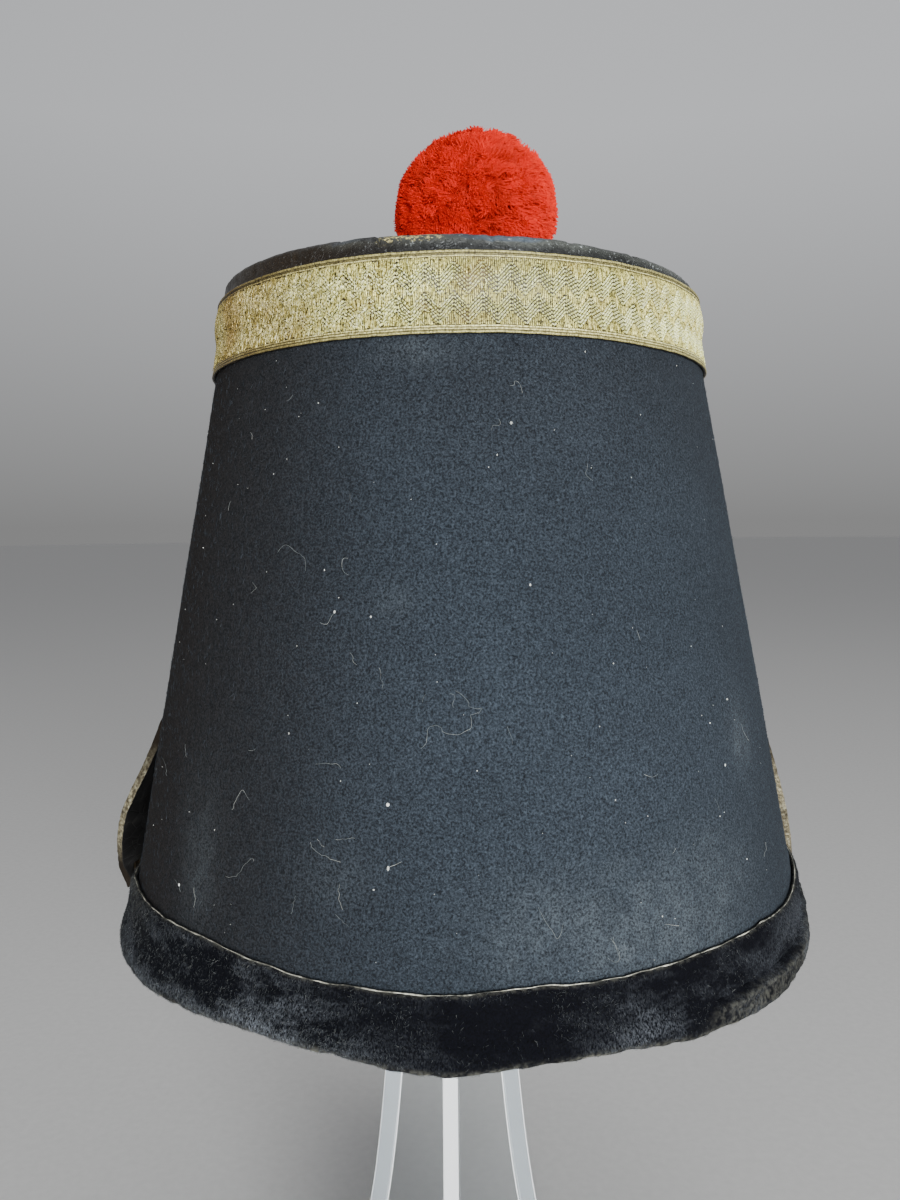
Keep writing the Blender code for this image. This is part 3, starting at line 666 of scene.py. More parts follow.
# Threads that have settled on the felt: points of (turn, height)
lint = {
    "threads": (
        ((-35.3, 40.6), (-34.9, 42.3), (-33.7, 44.5), (-32.2, 43.1)),
        ((-35.3, 27.6), (-33.6, 27.8), (-32.2, 29.7), (-30.8, 32.1), (-30.0, 31.9)),
        ((-20.9, 37.1), (-19.8, 35.7), (-18.5, 35.1), (-17.2, 34.5), (-16.0, 34.4)),
        ((-19.7, 38.2), (-19.2, 37.2), (-18.6, 36.5)),
        ((-16.9, 38.3), (-15.6, 38.6), (-14.2, 38.9)),
        ((-9.4, 33.8), (-8.4, 34.6), (-7.5, 35.3)),
        ((-16.0, 30.2), (-16.0, 28.0), (-15.4, 25.9)),
        ((-16.3, 24.8), (-15.3, 23.7), (-14.4, 22.9)),
        ((-22.5, 27.1), (-22.7, 25.3), (-22.9, 23.8)),
        ((-42.2, 22.7), (-41.4, 20.8), (-41.6, 19.1)),
        ((-48.0, 22.5), (-46.5, 21.7), (-45.6, 20.6)),
        ((-50.8, 50.1), (-50.2, 48.7), (-49.6, 47.7)),
        ((-61.9, 44.0), (-58.3, 42.9), (-57.5, 41.3)),
        ((-31.5, 92.0), (-29.6, 93.5), (-27.0, 91.8), (-25.5, 90.7), (-25.2, 88.4)),
        ((-21.6, 78.5), (-20.3, 78.3), (-19.3, 81.0)),
        ((-17.9, 103.4), (-17.5, 101.9)),
        ((-36.5, 85.8), (-35.5, 84.7), (-36.8, 83.7)),
        ((-5.1, 55.7), (-4.3, 56.7), (-4.2, 59.1), (-3.5, 59.8), (-2.4, 59.5), (-1.7, 58.5),
         (-0.1, 58.2), (1.9, 59.3), (2.1, 61.6), (3.2, 62.2), (3.5, 63.0), (1.9, 63.2), (1.5, 64.6),
         (-0.2, 66.2)),
        ((-0.9, 65.6), (-0.2, 65.2), (-0.7, 63.2)),
        ((-4.9, 64.1), (-4.5, 65.5)),
        ((20.5, 20.0), (20.7, 18.4), (21.3, 15.9)),
        ((31.4, 32.7), (32.1, 33.6)),
        ((10.5, 26.6), (12.1, 22.6), (12.9, 21.1), (13.8, 23.5)),
        ((28.7, 20.3), (30.9, 19.2)),
        ((20.2, 19.8), (20.9, 18.2), (21.3, 16.2), (20.5, 15.3), (19.5, 16.5)),
        ((53.4, 53.2), (54.0, 51.3), (55.6, 49.1)),
        ((41.6, 40.8), (42.3, 39.8), (42.4, 38.4)),
        ((55.4, 27.1), (55.6, 25.8), (53.9, 24.7))),
    # specks: turn, height, radius
    "specks": ((9.7, 116.7, 0.36), (7.1, 110.5, 0.2), (11.6, 85.6, 0.34), (-25.5, 121.8, 0.26),
               (-29.7, 119.4, 0.14), (-34.4, 107.9, 0.18), (24.5, 70.0, 0.2), (22.7, 44.5, 0.26),
               (2.8, 51.6, 0.18), (24.0, 40.1, 0.16), (28.5, 21.7, 0.2), (21.2, 58.4, 0.16),
               (-9.3, 33.9, 0.42), (-9.6, 45.3, 0.45), (-19.3, 80.6, 0.36), (49.7, 59.3, 0.3),
               (43.4, 55.6, 0.24), (45.9, 46.4, 0.28), (42.5, 36.9, 0.22), (48.1, 26.3, 0.2),
               (-25.8, 56.9, 0.24), (-16.7, 49.0, 0.2), (-11.2, 29.9, 0.26), (36.3, 119.3, 0.2),
               (24.9, 131.4, 0.22), (-46.4, 21.9, 0.34), (-13.2, 79.8, 0.24)),
    "looseThreads": 46,
    "looseSpecks": 230,
    "seed": 5,
}


def threadCurve(name, lines, sides=1):  # lines of (point, radius) as one curve object
    data = bpy.data.curves.new(name, "CURVE")
    data.dimensions, data.bevel_depth, data.bevel_resolution = "3D", mm, sides
    data.use_fill_caps, data.resolution_u = True, 5
    for line in lines:
        spline = data.splines.new("NURBS")
        spline.points.add(len(line) - 1)
        spline.order_u, spline.use_endpoint_u = 3, True
        for point, (place, radius) in zip(spline.points, line):
            point.co, point.radius = (*place, 1), radius
    holder = bpy.data.objects.new(name, data)
    mesh = bpy.data.meshes.new_from_object(holder)
    bpy.data.objects.remove(holder)
    bm = bmesh.new()
    bm.from_mesh(mesh)
    bpy.data.meshes.remove(mesh)
    bmesh.ops.remove_doubles(bm, verts=bm.verts, dist=1e-7)
    bmesh.ops.recalc_face_normals(bm, faces=bm.faces)
    return bm


def makeLint():
    draw = random.Random(lint["seed"])
    finish, tree, shader = newFinish("lintThread", {"Roughness": 0.7, "Specular IOR Level": 0.3})
    feedTo(tree, shader, "Base Color", ramp(tree, grain(tree, placeOn(tree), 180, 3), (0.3, tint(84, 88, 90)),
                                            (0.5, tint(128, 132, 130)), (0.7, tint(186, 186, 178))))
    lines = []
    for thread in lint["threads"]:
        line = []
        for i in range(4 * (len(thread) - 1) + 1):
            turn, height = splinePoint(thread, i / 4)
            line.append((onHat(turn + draw.gauss(0, 0.09), (height + draw.gauss(0, 0.1)) * mm,
                               draw.uniform(0.05, 0.3) * mm), draw.uniform(0.02, 0.036)))
        lines.append(line)
    for _ in range(lint["looseThreads"]):
        turn, height, heading = draw.uniform(-180, 180), draw.uniform(16, 130), draw.uniform(0, 6.3)
        line = []
        for _ in range(draw.randint(3, 6)):
            line.append((onHat(turn, height * mm, draw.uniform(0.05, 0.3) * mm), draw.uniform(0.018, 0.032)))
            heading += draw.gauss(0, 0.9)
            turn += math.cos(heading) * 0.9
            height = min(max(height + math.sin(heading) * 1.1, 15), 132)
        lines.append(line)
    piece = finishPiece("lintThreads", threadCurve("lintThreads", lines), [finish])

    specks = [(turn, height * mm, size * mm) for turn, height, size in lint["specks"]]
    for _ in range(lint["looseSpecks"]):
        specks.append((draw.uniform(-180, 180), draw.uniform(14, 132) * mm, draw.uniform(0.05, 0.15) * mm))
    bm = bmesh.new()
    for turn, height, size in specks:
        stretch = Matrix.Diagonal((draw.uniform(0.6, 1.2), draw.uniform(0.6, 1.2), draw.uniform(0.8, 1.7), 1))
        bmesh.ops.create_icosphere(bm, subdivisions=1, radius=size * 0.75,
                                   matrix=Matrix.Translation(onHat(turn, height, size * 0.4)) @ stretch)
    dust, tree, shader = newFinish("lintSpeck", {"Roughness": 0.6, "Specular IOR Level": 0.4})
    feedTo(tree, shader, "Base Color", ramp(tree, grain(tree, placeOn(tree), 150), (0.4, tint(190, 192, 186)),
                                            (0.6, tint(240, 240, 234))))
    finishPiece("lintSpecks", bm, [dust])
    return piece


laceBand = {
    "radius": 63.2 * mm,
    "periods": 68,
    "foot": 134.3 * mm,
    "top": 150.5 * mm,
    "sideSag": 1.1 * mm,
    "step": (140.5 * mm, 146.3 * mm),
    "thick": 0.55 * mm,
    "spread": 0.9 * mm,
    # ribs: middle above the foot, half width, rise, how bright (painted highlight on the rib top, painted shade in the
    # grooves)
    "ribs": ((0.3, 0.3, 0.26, 0.62), (0.9, 0.24, 0.24, 0.85), (1.42, 0.22, 0.2, 1.0), (15.0, 0.2, 0.18, 0.9),
             (15.4, 0.16, 0.1, 0.3), (15.88, 0.3, 0.3, 0.58)),
    "worn": 3000, "seed": 21,
}


def laceOut(height):  # how far out the lace's underside lies
    low, high = laceBand["step"]
    return hat["gap"] + (hat["gap"] + laceBand["spread"]) * softStep((height - low) / (high - low))


def fitLace(bm):
    lace = laceBand
    old = bm.verts.layers.float.new("old")
    for v in bm.verts:
        turn, height, out = readTube(v.co, lace["radius"])
        # towards the left the lace is darker and browner: tarnish together with painted shade and warm bounce light
        v[old] = softStep((-turn - 8) / 44) * (0.75 + 0.25 * wobble(turn, height, 9 * mm)) if turn > -130 else 0.4
        sag = (lace["top"] - height) / (lace["top"] - lace["foot"]) * math.sin(math.radians(turn)) ** 2
        place = height - lace["sideSag"] * sag
        place += 0.14 * mm * wobble(turn, height, 16 * mm, 4.0) + 0.08 * mm * wobble(turn, height, 2.5 * mm, 7.7)
        v.co = onHat(turn, place, laceOut(height) + out + 0.1 * mm * wobble(turn, height, 7 * mm, 2.0))
    bmesh.ops.recalc_face_normals(bm, faces=bm.faces)


def makeLace():
    lace = laceBand
    inner = [(0, mixOf(lace["foot"], lace["top"], i / 8)) for i in range(9)]
    outer = []
    stops = sorted({round(rib[0] + rib[1] * k / 3, 4) for rib in lace["ribs"] for k in range(-3, 4)}
                   | {2.2 + i for i in range(13)}, reverse=True)
    shares = {}
    for level in stops:
        shares[level] = max((math.sqrt(max(0.0, 1 - ((level - middle) / half) ** 2)), top, bright)
                            for middle, half, top, bright in lace["ribs"])
        outer.append((lace["thick"] + shares[level][0] * shares[level][1] * mm, lace["foot"] + level * mm))
    bm = spinTube(inner + outer, lace["periods"] * 6, lace["radius"])
    border, rib = bm.verts.layers.float.new("border"), bm.verts.layers.float.new("rib")
    for v in bm.verts:
        level = (readTube(v.co, lace["radius"])[1] - lace["foot"]) / mm
        v[border] = 1.0 if level < 1.68 or level > 14.75 else 0.0
        # rib: painted highlight on the rib tops and painted shade in the grooves, set by each rib's brightness
        share, _, bright = shares[min(shares, key=lambda stop: abs(stop - level))]
        v[rib] = share * bright
    layMap(bm, lace["radius"])
    fitLace(bm)
    return finishPiece("laceBand", bm, [makeLaceFinish("laceGround", "ground")],
                       ["metal_lace"], 80)


laceStitch = {
    "rows": 5, "rowGap": 0.76, "rise": 3.0, "low": 1.95, "pitch": 5.8,
    "perRow": 5, "width": 0.35, "height": 0.34,
    "threadStep": 0.42, "threadWidth": 0.28, "threadHeight": 0.2,
    "fieldTop": 14.75, "fieldFoot": 1.65,
}


def makeStitches():  # the raised zigzags, one repeat first and then copies round the band
    lace, stitch = laceBand, laceStitch
    half = math.pi * lace["radius"] / lace["periods"] / mm
    bm = bmesh.new()

    def addStitch(x, level, length, width, rise, slope, slot=0):
        size = Matrix.Diagonal((length, rise, width, 1))
        lean = Matrix.Rotation(-slope, 4, "Y")
        place = Matrix.Translation(Vector((x, -lace["radius"] / mm - lace["thick"] / mm - rise / 2 + 0.04,
                                           lace["foot"] / mm + level)))
        turned = Matrix.Rotation(math.pi / 2, 4, "X") @ Matrix.Rotation(math.pi / 4, 4, "Z")
        made = bmesh.ops.create_cone(bm, cap_ends=True, segments=4, radius1=0.707, radius2=0.4, depth=1,
                                     matrix=Matrix.Scale(mm, 4) @ place @ lean @ size @ turned)
        for face in {f for v in made["verts"] for f in v.link_faces}:
            face.material_index = slot

    slope = math.atan2(stitch["rise"], half)
    for zig in range(2):
        for row in range(stitch["rows"]):
            for side in (-1, 1):
                count = stitch["perRow"] if side < 0 else stitch["perRow"] + 1
                for i in range(count):
                    share = (i + 0.5) / count
                    x = side * half * (1 - share)
                    level = stitch["low"] + zig * stitch["pitch"] + row * stitch["rowGap"] \
                        + stitch["rise"] * share
                    length = math.hypot(half, stitch["rise"]) / count
                    addStitch(x, level, length * (0.9 if side < 0 else 0.7), stitch["width"],
                              stitch["height"], -side * slope * (1 if side < 0 else 0.92))
    count = round(2 * half / stitch["threadStep"])
    for i in range(count):
        x = -half + 2 * half * (i + 0.5) / count
        line = stitch["low"] + stitch["rise"] * (1 - abs(x) / half)
        spans = ((stitch["fieldFoot"], line - 0.35),
                 (line + (stitch["rows"] - 1) * stitch["rowGap"] + 0.4, line + stitch["pitch"] - 0.4),
                 (line + stitch["pitch"] + (stitch["rows"] - 1) * stitch["rowGap"] + 0.4, stitch["fieldTop"]))
        for low, high in spans:
            if high - low > 0.3:
                addStitch(x, (low + high) / 2, high - low, stitch["threadWidth"], stitch["threadHeight"],
                          math.pi / 2, 1)
    bmesh.ops.spin(bm, geom=bm.verts[:] + bm.edges[:] + bm.faces[:], cent=(0, 0, 0), axis=hat["axis"],
                   angle=math.tau * (lace["periods"] - 1) / lace["periods"], steps=lace["periods"] - 1,
                   use_duplicate=True)
    for v in bm.verts:  # the stitches have shifted with age, most of all on the left
        turn, height, _ = readTube(v.co, lace["radius"])
        loose = 0.07 + 0.4 * softStep((10 - turn) / 30) * softStep((turn + 95) / 40)
        v.co.z += loose * mm * wobble(turn, height, 1.1 * mm, 5.0)
        v.co += Vector((v.co.y, -v.co.x, 0)).normalized() * loose * mm * wobble(turn, height, 0.9 * mm, 9.0)
    draw, places = random.Random(lace["seed"]), []
    for _ in range(lace["worn"]):  # where the pattern has worn away, stray ends cover it
        turn, level, lean = draw.gauss(-36, 18), draw.uniform(1.9, 14.5), draw.gauss(math.pi / 2, 0.3)
        reach = draw.uniform(0.35, 0.9)
        step = Vector((math.cos(lean), 0, math.sin(lean))) * reach * mm
        middle = Vector((0, -lace["radius"] - lace["thick"] - draw.uniform(0.22, 0.34) * mm,
                         lace["foot"] + level * mm))
        spin = Matrix.Rotation(math.radians(turn), 4, "Z")
        places.append((spin @ (middle - step), spin @ (middle + step), draw.uniform(0.07, 0.12) * mm))
    ends = bpy.data.meshes.new("ends")
    loose = addNeedles(places)
    loose.to_mesh(ends)
    loose.free()
    woven = len(bm.faces)
    bm.from_mesh(ends)
    bpy.data.meshes.remove(ends)
    for i, face in enumerate(bm.faces[:]):
        if i >= woven:
            face.material_index = (i - woven) // 4 % 2
    fitLace(bm)
    finishes = [makeLaceFinish("laceRaised", "raised"), makeLaceFinish("laceField", "field")]
    return finishPiece("laceStitches", bm, finishes, (), 75)


velvet = {
    "radius": 90 * mm,
    "steps": 620,
    "inside": 10.0 * mm,
    "thick": 1.2 * mm,
    "outerRows": 40,
    "crush": 0.28 * mm,
    "fold": 0.5 * mm,
    # the lip on the right, where the hem has come away: turn, height of its upper edge
    "lip": ((30, 1.4), (35, 3.6), (39, 3.7), (44, 4.0), (50, 3.7), (54, 3.5), (58, 3.3), (64, 4.4), (70, 5.4),
            (80, 5.6), (92, 4.8)),
    "lipRise": 1.05 * mm,
    # how crushed the pile is: turn, share
    "worn": ((-180, 0.6), (-74, 0.3), (-56, 0.85), (-24, 0.9), (-8, 0.12), (14, 0.1), (24, 0.4), (48, 0.35), (62, 0.8),
             (180, 0.6)),
}


def velvetCorners(turn):  # the band's outline from its top edge down to the hem, as (height, out)
    top, foot, bulge = velvetTop(turn), velvetFoot(turn), hemBulge(turn)
    return [(top, 0.75 * mm), (top - 0.45 * mm, 1.35 * mm), (top - 1.8 * mm, 1.5 * mm),
            ((top + foot) / 2, 0.72 * bulge), (foot + 4.0 * mm, bulge), (foot + 1.4 * mm, bulge),
            (foot + 0.25 * mm, 0.65 * bulge), (foot, 0.0)]


def lipAt(turn, height):  # a groove above the lip and a roll below it
    rows = velvet["lip"]
    if not rows[0][0] < turn < rows[-1][0]:
        return 0.0
    edge = readRows(rows, turn, 1) * mm
    power = softStep((turn - rows[0][0]) / 8) * softStep((rows[-1][0] - turn) / 14)
    below = (edge - height) / mm
    return power * velvet["lipRise"] * (0.75 * math.exp(-((below - 0.7) / 0.8) ** 2)
                                        - 0.95 * math.exp(-((below + 0.55) / 0.5) ** 2))


def velvetFace(turn, place):  # the crushed outer face, place 0 at the top edge and 7 at the hem
    level, out = splinePoint(velvetCorners(turn), place)
    soft = softStep(place / 1.5) * softStep((7 - place) / 0.8)
    folds = wobble(turn, level * 0.35, 3.2 * mm, 6.0)
    out += soft * (velvet["crush"] * wobble(turn, level, 1.7 * mm, 2.2)
                   + velvet["fold"] * 0.5 * folds * abs(folds) + lipAt(turn, level))
    return level + 0.4 * mm * wobble(turn, 0, 3.0 * mm, 7.0) * softStep((place - 4.5) / 2), out


def makeVelvet():
    band = velvet
    outerSpans = 7
    count = band["outerRows"]
    section = [(0, -outerSpans * i / count * mm) for i in range(count + 1)]
    section += [(-2 * mm, -(8 + k) * mm) for k in range(7)]
    bm = spinTube(section, band["steps"], band["radius"])
    wear, low = bm.verts.layers.float.new("wear"), bm.verts.layers.float.new("hem")
    under = hat["gap"] + band["thick"]
    for v in bm.verts:
        turn, height, out = readTube(v.co, band["radius"])
        place = -height / mm
        foot, top = velvetFoot(turn), velvetTop(turn)
        if out < -1 * mm:
            inner = (-hat["felt"] - hat["gap"], -hat["felt"] - hat["gap"] - band["thick"])
            back = [(foot + 0.8 * mm, inner[0]), (foot + 1.6 * mm, inner[1]), (band["inside"], inner[1]),
                    (band["inside"], inner[0]), (foot + under, inner[0]), (foot + under, hat["gap"]),
                    (top - 0.2 * mm, hat["gap"])]
            level, out = back[round(place) - 8]
            v[wear], v[low] = 0.15, 0.5
        else:
            level, out = velvetFace(turn, place)
            hem = softStep((place - 4.7) / 0.9) * (0.65 + 0.6 * wobble(turn, level, 6 * mm, 4.4))
            edge = softStep((1.3 - place) / 1.3) * 0.85
            leftSide = softStep((-turn - 50) / 14) * softStep((turn + 125) / 20) * softStep((3.6 - place) / 2.5) * 0.7
            # a pale line on the crest of the lip, in the wear colour: painted highlight
            lip = min(3 * lipAt(turn, level) / band["lipRise"] - 1.5, 0.6)
            below = readRows(band["lip"], turn, 1) - level / mm
            lip = max(lip, 0.5 * softStep((turn - 30) / 8) * softStep((92 - turn) / 14) * softStep(below / 0.7))
            v[low] = place / outerSpans * readRows(band["worn"], turn, 1)
            v[wear] = min(max(hem, edge, leftSide, lip, 0.0), 1.0)
        v.co = onHat(turn, level, out)
    bmesh.ops.recalc_face_normals(bm, faces=bm.faces)
    return finishPiece("velvetBand", bm, [makeVelvetFinish()], ["velvet_band"], 80)


velvetFuzz = {"count": 20000, "length": (0.3, 1.0), "width": (0.014, 0.034), "seed": 17}


def makeFuzz():  # short pale fibres where the pile is worn, most of all along the hem
    fuzz, draw = velvetFuzz, random.Random(velvetFuzz["seed"])
    places, tones = [], []
    spans = (0.2, 0.35, 1.0, 0.6, 0.5, 0.35, 0.35)
    while len(places) < fuzz["count"]:
        turn, place = draw.uniform(-180, 180), draw.uniform(0.1, 6.6)
        hem = softStep((place - mixOf(5.0, 2.6, softStep((4 - turn) / 22))) / 1.8)
        edge = 0.55 * softStep((1.6 - place) / 1.2)
        left = 0.6 * leftShare(turn)
        patch = softStep((wobble(turn, place * 2 * mm, 7 * mm, 4.7) - 0.08) / 0.3)
        if draw.random() > spans[int(place)] * max(0.05, hem, edge, left, 0.3 * patch):
            continue
        root, below, beside = (onHat(turn + side, *velvetFace(turn + side, place + down))
                               for side, down in ((0, 0), (0, 0.05), (0.05, 0)))
        below, beside = (below - root).normalized(), (beside - root).normalized()
        lean, length = draw.gauss(math.pi / 2, 0.9), draw.uniform(*fuzz["length"]) * mm
        away = below.cross(beside).normalized() * draw.uniform(0.05, 0.35) * mm
        tip = root + (beside * math.cos(lean) + below * math.sin(lean)) * length + away
        places.append((root + away * 0.3, tip, draw.uniform(*fuzz["width"]) * mm))
        tones += [draw.random() ** 2] * 4
    finish, tree, shader = newFinish("velvetFuzz", {"Roughness": 0.8, "Specular IOR Level": 0.2})
    dark, body, light = velvetLook["fuzz"]
    feedTo(tree, shader, "Base Color", ramp(tree, readLayer(tree, "tone"), (0.0, dark), (0.5, body), (1.0, light)))
    piece = finishPiece("velvetFuzz", addNeedles(places), [finish])
    piece.data.attributes.new("tone", "FLOAT", "POINT").data.foreach_set("value", tones)


selvedge = {"radius": 90 * mm, "steps": 720, "width": 0.12 * mm, "sides": 6}


def makeSelvedge():
    edge = selvedge
    section = [(edge["width"] * math.cos(math.tau * i / edge["sides"]),
                edge["width"] * math.sin(math.tau * i / edge["sides"])) for i in range(edge["sides"])]
    bm = spinTube(section, edge["steps"], edge["radius"])
    for v in bm.verts:
        turn, height, out = readTube(v.co, edge["radius"])
        swell = 0.75 + 0.9 * wobble(turn, 0, 2.4 * mm, 6.6) + 0.5 * wobble(turn, 0, 0.9 * mm, 2.6)
        swell = max(swell, 0.15)
        level = velvetTop(turn) + 0.12 * mm * wobble(turn, 0, 1.8 * mm, 9.4)
        v.co = onHat(turn, level + height * swell, 0.95 * mm + out * swell)
    bmesh.ops.recalc_face_normals(bm, faces=bm.faces)
    return finishPiece("velvetSelvedge", bm, [makeEdgeFinish()])


strap = {
    # turn, height, out at the left, out at the right
    "rows": ((97.6, -3.0, 7.6, 4.3), (97.2, 3.0, 10.6, 4.4), (96.2, 8.5, 11.4, 4.4), (95.0, 14.5, 11.4, 4.2),
             (94.1, 20.5, 10.5, 3.8), (93.8, 27.0, 8.0, 3.1), (94.4, 34.5, 5.2, 2.4), (96.8, 42.5, 3.8, 1.9),
             (101.5, 50.5, 2.4, 1.7), (110.0, 59.0, 1.8, 1.6), (125.0, 67.0, 1.6, 1.6),
             (150.0, 73.0, 1.6, 1.6), (180.0, 75.0, 1.6, 1.6)),
    "width": 14 * mm,
    "thick": 2.0 * mm,
    "twist": 0.85,
    "along": 260,
    "across": 14,
}


def strapFrame(place):  # middle, across, out and how far the front edge lies back, from the left post (0) to the right
    rows = strap["rows"]

    def point(at):
        at = min(max(at, 0.0), 1.0)
        side = -1 if at < 0.5 else 1
        spans = (1 - abs(2 * at - 1)) * (len(rows) - 1)
        turn, height, outLeft, outRight = splinePoint(rows, spans)
        out = outLeft if side < 0 else outRight
        gap = strap["twist"] * max(out - 3, 0) * softStep((height + 1) / 7) * mm
        return onHat(side * turn, height * mm, out * mm), side * turn, height * mm, gap

    middle, turn, height, gap = point(place)
    along = (point(place + 0.004)[0] - point(place - 0.004)[0]).normalized()
    across = faceOut(turn, height).cross(along).normalized()
    return middle, across, along.cross(across), gap


def makeStrap():
    bm = bmesh.new()
    bmesh.ops.create_grid(bm, x_segments=strap["along"], y_segments=strap["across"], size=1)
    frames = {}
    for v in bm.verts:
        key = round(v.co.x, 6)
        if key not in frames:
            frames[key] = strapFrame((v.co.x + 1) / 2)
        middle, across, out, gap = frames[key]
        cup = 0.25 * mm * (1 - 2 * abs(v.co.y) ** 2)
        uneven = 0.18 * mm * noise.noise(Vector((v.co.x * 60, v.co.y * 2, 0)))
        edge = 1 + 0.018 * noise.noise(Vector((v.co.x * 110, v.co.y, 3)))
        far = (1 + v.co.y * math.copysign(1, across.y)) / 2
        v.co = middle + across * v.co.y * strap["width"] / 2 * edge + out * (cup + uneven - far * gap)
    if sum(f.calc_area() * f.normal.dot(f.calc_center_median() - Vector((hat["aside"], 0, 0.2)))
           for f in bm.faces) < 0:
        bmesh.ops.reverse_faces(bm, faces=bm.faces)
    edgeFinish, tree, shader = newFinish("strapEdge", {"Roughness": 0.85, "Specular IOR Level": 0.2})
    place = placeOn(tree)
    speckled = ramp(tree, grain(tree, place, 1100, 3, 0.7), (0.34, tint(56, 50, 38)), (0.5, tint(122, 113, 90)),
                    (0.68, tint(182, 176, 150)))
    # the pale, speckled edge is a painted lit edge, kept to a band of heights; above and below it, and in noise
    # patches, the edge is dark
    rise = addNode(tree, "SeparateXYZ", {0: place}).outputs["Z"]
    dull = reckon(tree, "MAXIMUM", ramp(tree, grain(tree, place, 70, 4, 0.7), (0.44, 0.0), (0.66, 0.8)),
                  ramp(tree, rise, (0.149, 1.0), (0.157, 0.0), (0.172, 0.0), (0.183, 1.0)))
    feedTo(tree, shader, "Base Color", blendTints(tree, dull, speckled, tint(36, 29, 21)))
    raiseBy(tree, shader, grain(tree, place, 900, 3), 0.3 * mm)
    body = makeLeatherFinish("strapLeather", tint(13, 12, 12), tint(58, 54, 46), 0.42)
    piece = finishPiece("chinStrap", bm, [body, edgeFinish], ["chin_strap"], 50)
    wall = piece.modifiers.new("thickness", "SOLIDIFY")
    wall.thickness, wall.offset, wall.material_offset_rim = strap["thick"], 0, 1
    corners = piece.modifiers.new("corners", "BEVEL")
    corners.width, corners.segments, corners.limit_method = 0.45 * mm, 3, "ANGLE"
    corners.angle_limit = math.radians(50)
    corners.use_clamp_overlap = True
    return piece


crown = {
    "radius": 63.2 * mm,
    "steps": 440,
    "rim": 154.6 * mm,
    "lean": 1.3 * mm,
    "sink": 4.6 * mm,
    "leather": 0.9 * mm,
    "skirt": 146.8 * mm,
    "discRings": 14,
    "gilding": (-16, -1, 152.6 * mm),
    # how far the glaze has bloomed, with a painted highlight on it: turn, share
    "bloomAndHighlight": ((-180, 0.35), (-78, 0.45), (-52, 0.5), (-44, 0.12), (-29, 0.12), (-24, 0.7), (-14, 0.6), (0, 0.58),
              (4, 0.95), (14, 0.95), (20, 0.5), (60, 0.45), (90, 0.5), (180, 0.35)),
    # cracks across the rim: turn, depth
    "cracks": ((-15.5, 0.8), (-24, 0.5), (-33, 0.9), (-47, 0.5), (7.5, 0.5), (24, 0.4), (40, 0.6), (61, 0.5),
               (-62, 0.4), (100, 0.6), (150, 0.6), (-120, 0.6), (-160, 0.5)),
}


def makeCrown():
    top, wallIn = crown, -hat["felt"] - hat["gap"] - crown["leather"]
    disc = top["rim"] - top["sink"]
    skirtOut = hat["gap"] + top["leather"]

    def roll(share):  # over the rim from inside to outside, share 0 to 1
        angle = math.pi * (1 - share)
        middle, half = (wallIn + skirtOut) / 2, (skirtOut - wallIn) / 2
        return middle + half * math.cos(angle), top["rim"] - 1.15 * mm * (1 - math.sin(angle) ** 0.8) \
            - (0.5 * mm * max(0.0, math.cos(angle)))

    section = [(-top["radius"] * (1 - i / top["discRings"]) + wallIn * i / top["discRings"], disc)
               for i in range(top["discRings"])]
    section += [(wallIn - 1.1 * mm, disc + 0.05 * mm), (wallIn - 0.4 * mm, disc + 0.4 * mm),
                (wallIn, disc + 1.2 * mm), (wallIn, disc + 2.3 * mm)]
    section += [roll(i / 18) for i in range(19)]
    section += [(skirtOut, mixOf(top["rim"] - 2.1 * mm, top["skirt"], i / 6)) for i in range(7)]
    section += [(hat["gap"], top["skirt"]), (hat["gap"], feltShell["top"] + hat["gap"]),
                (-hat["felt"] - hat["gap"], feltShell["top"] + hat["gap"]),
                (-hat["felt"] - hat["gap"], disc - top["leather"])]
    section += [(-top["radius"] * (1 - i / 6) + wallIn * i / 6, disc - top["leather"]) for i in range(5, -1, -1)]
    bm = spinTube(section, top["steps"], top["radius"], closed=False)
    bmesh.ops.remove_doubles(bm, verts=bm.verts, dist=1e-6)
    gilt, paintedShade, bloomAndHighlight = (bm.verts.layers.float.new(name) for name in ("gilt", "paintedShade", "bloomAndHighlight"))
    for v in bm.verts:
        turn, height, out = readTube(v.co, top["radius"])
        # dulled glaze with a painted highlight, strongest along the top of the rim
        v[bloomAndHighlight] = readRows(top["bloomAndHighlight"], turn, 1) * mixOf(0.12, 1.2, softStep((height / mm - 151.6) / 2.2))
        if height > disc + 0.9 * mm:  # the rim is uneven and cracked
            lift = top["lean"] * math.sin(math.radians(turn)) * softStep((height - top["skirt"]) / (5 * mm))
            uneven = 0.16 * mm * wobble(turn, height, 3 * mm, 3.0) + 0.22 * mm * wobble(turn, 0, 11 * mm, 1.0)
            crack = sum(depth * math.exp(-((turn - at + 0.35 * (out / mm)) / 0.5) ** 2) for at, depth in top["cracks"])
            height += -lift + uneven - crack * mm * softStep((height - disc - 2 * mm) / mm)
            out += 0.14 * mm * wobble(turn, height, 2.6 * mm, 5.0) - 0.5 * crack * mm * (out > 0)
        # painted warm bounce light on the left of the rim
        v[paintedShade] = leftShare(turn)
        start, stop, level = top["gilding"]
        v[gilt] = softStep((turn - start) / 4) * softStep((stop - turn) / 4) * softStep((height - level) / mm)
        if out >= wallIn:
            v.co = onHat(turn, height, out)
        else:
            share = (top["radius"] + out) / (top["radius"] + wallIn)
            centre = Vector((hat["aside"], 0, hat["lift"] + height))
            v.co = centre + (onHat(turn, height, wallIn) - centre) * share
    bmesh.ops.recalc_face_normals(bm, faces=bm.faces)
    return finishPiece("crownLeather", bm, [makePatentFinish()], ["patent_crown"], 70)


peak = {
    "halfTurn": 56, "reach": 40 * mm, "endReach": 3 * mm, "slope": 30, "root": 5 * mm, "thick": 2.4 * mm,
    "endClear": 0.5 * mm, "across": 84, "rings": 16,
}


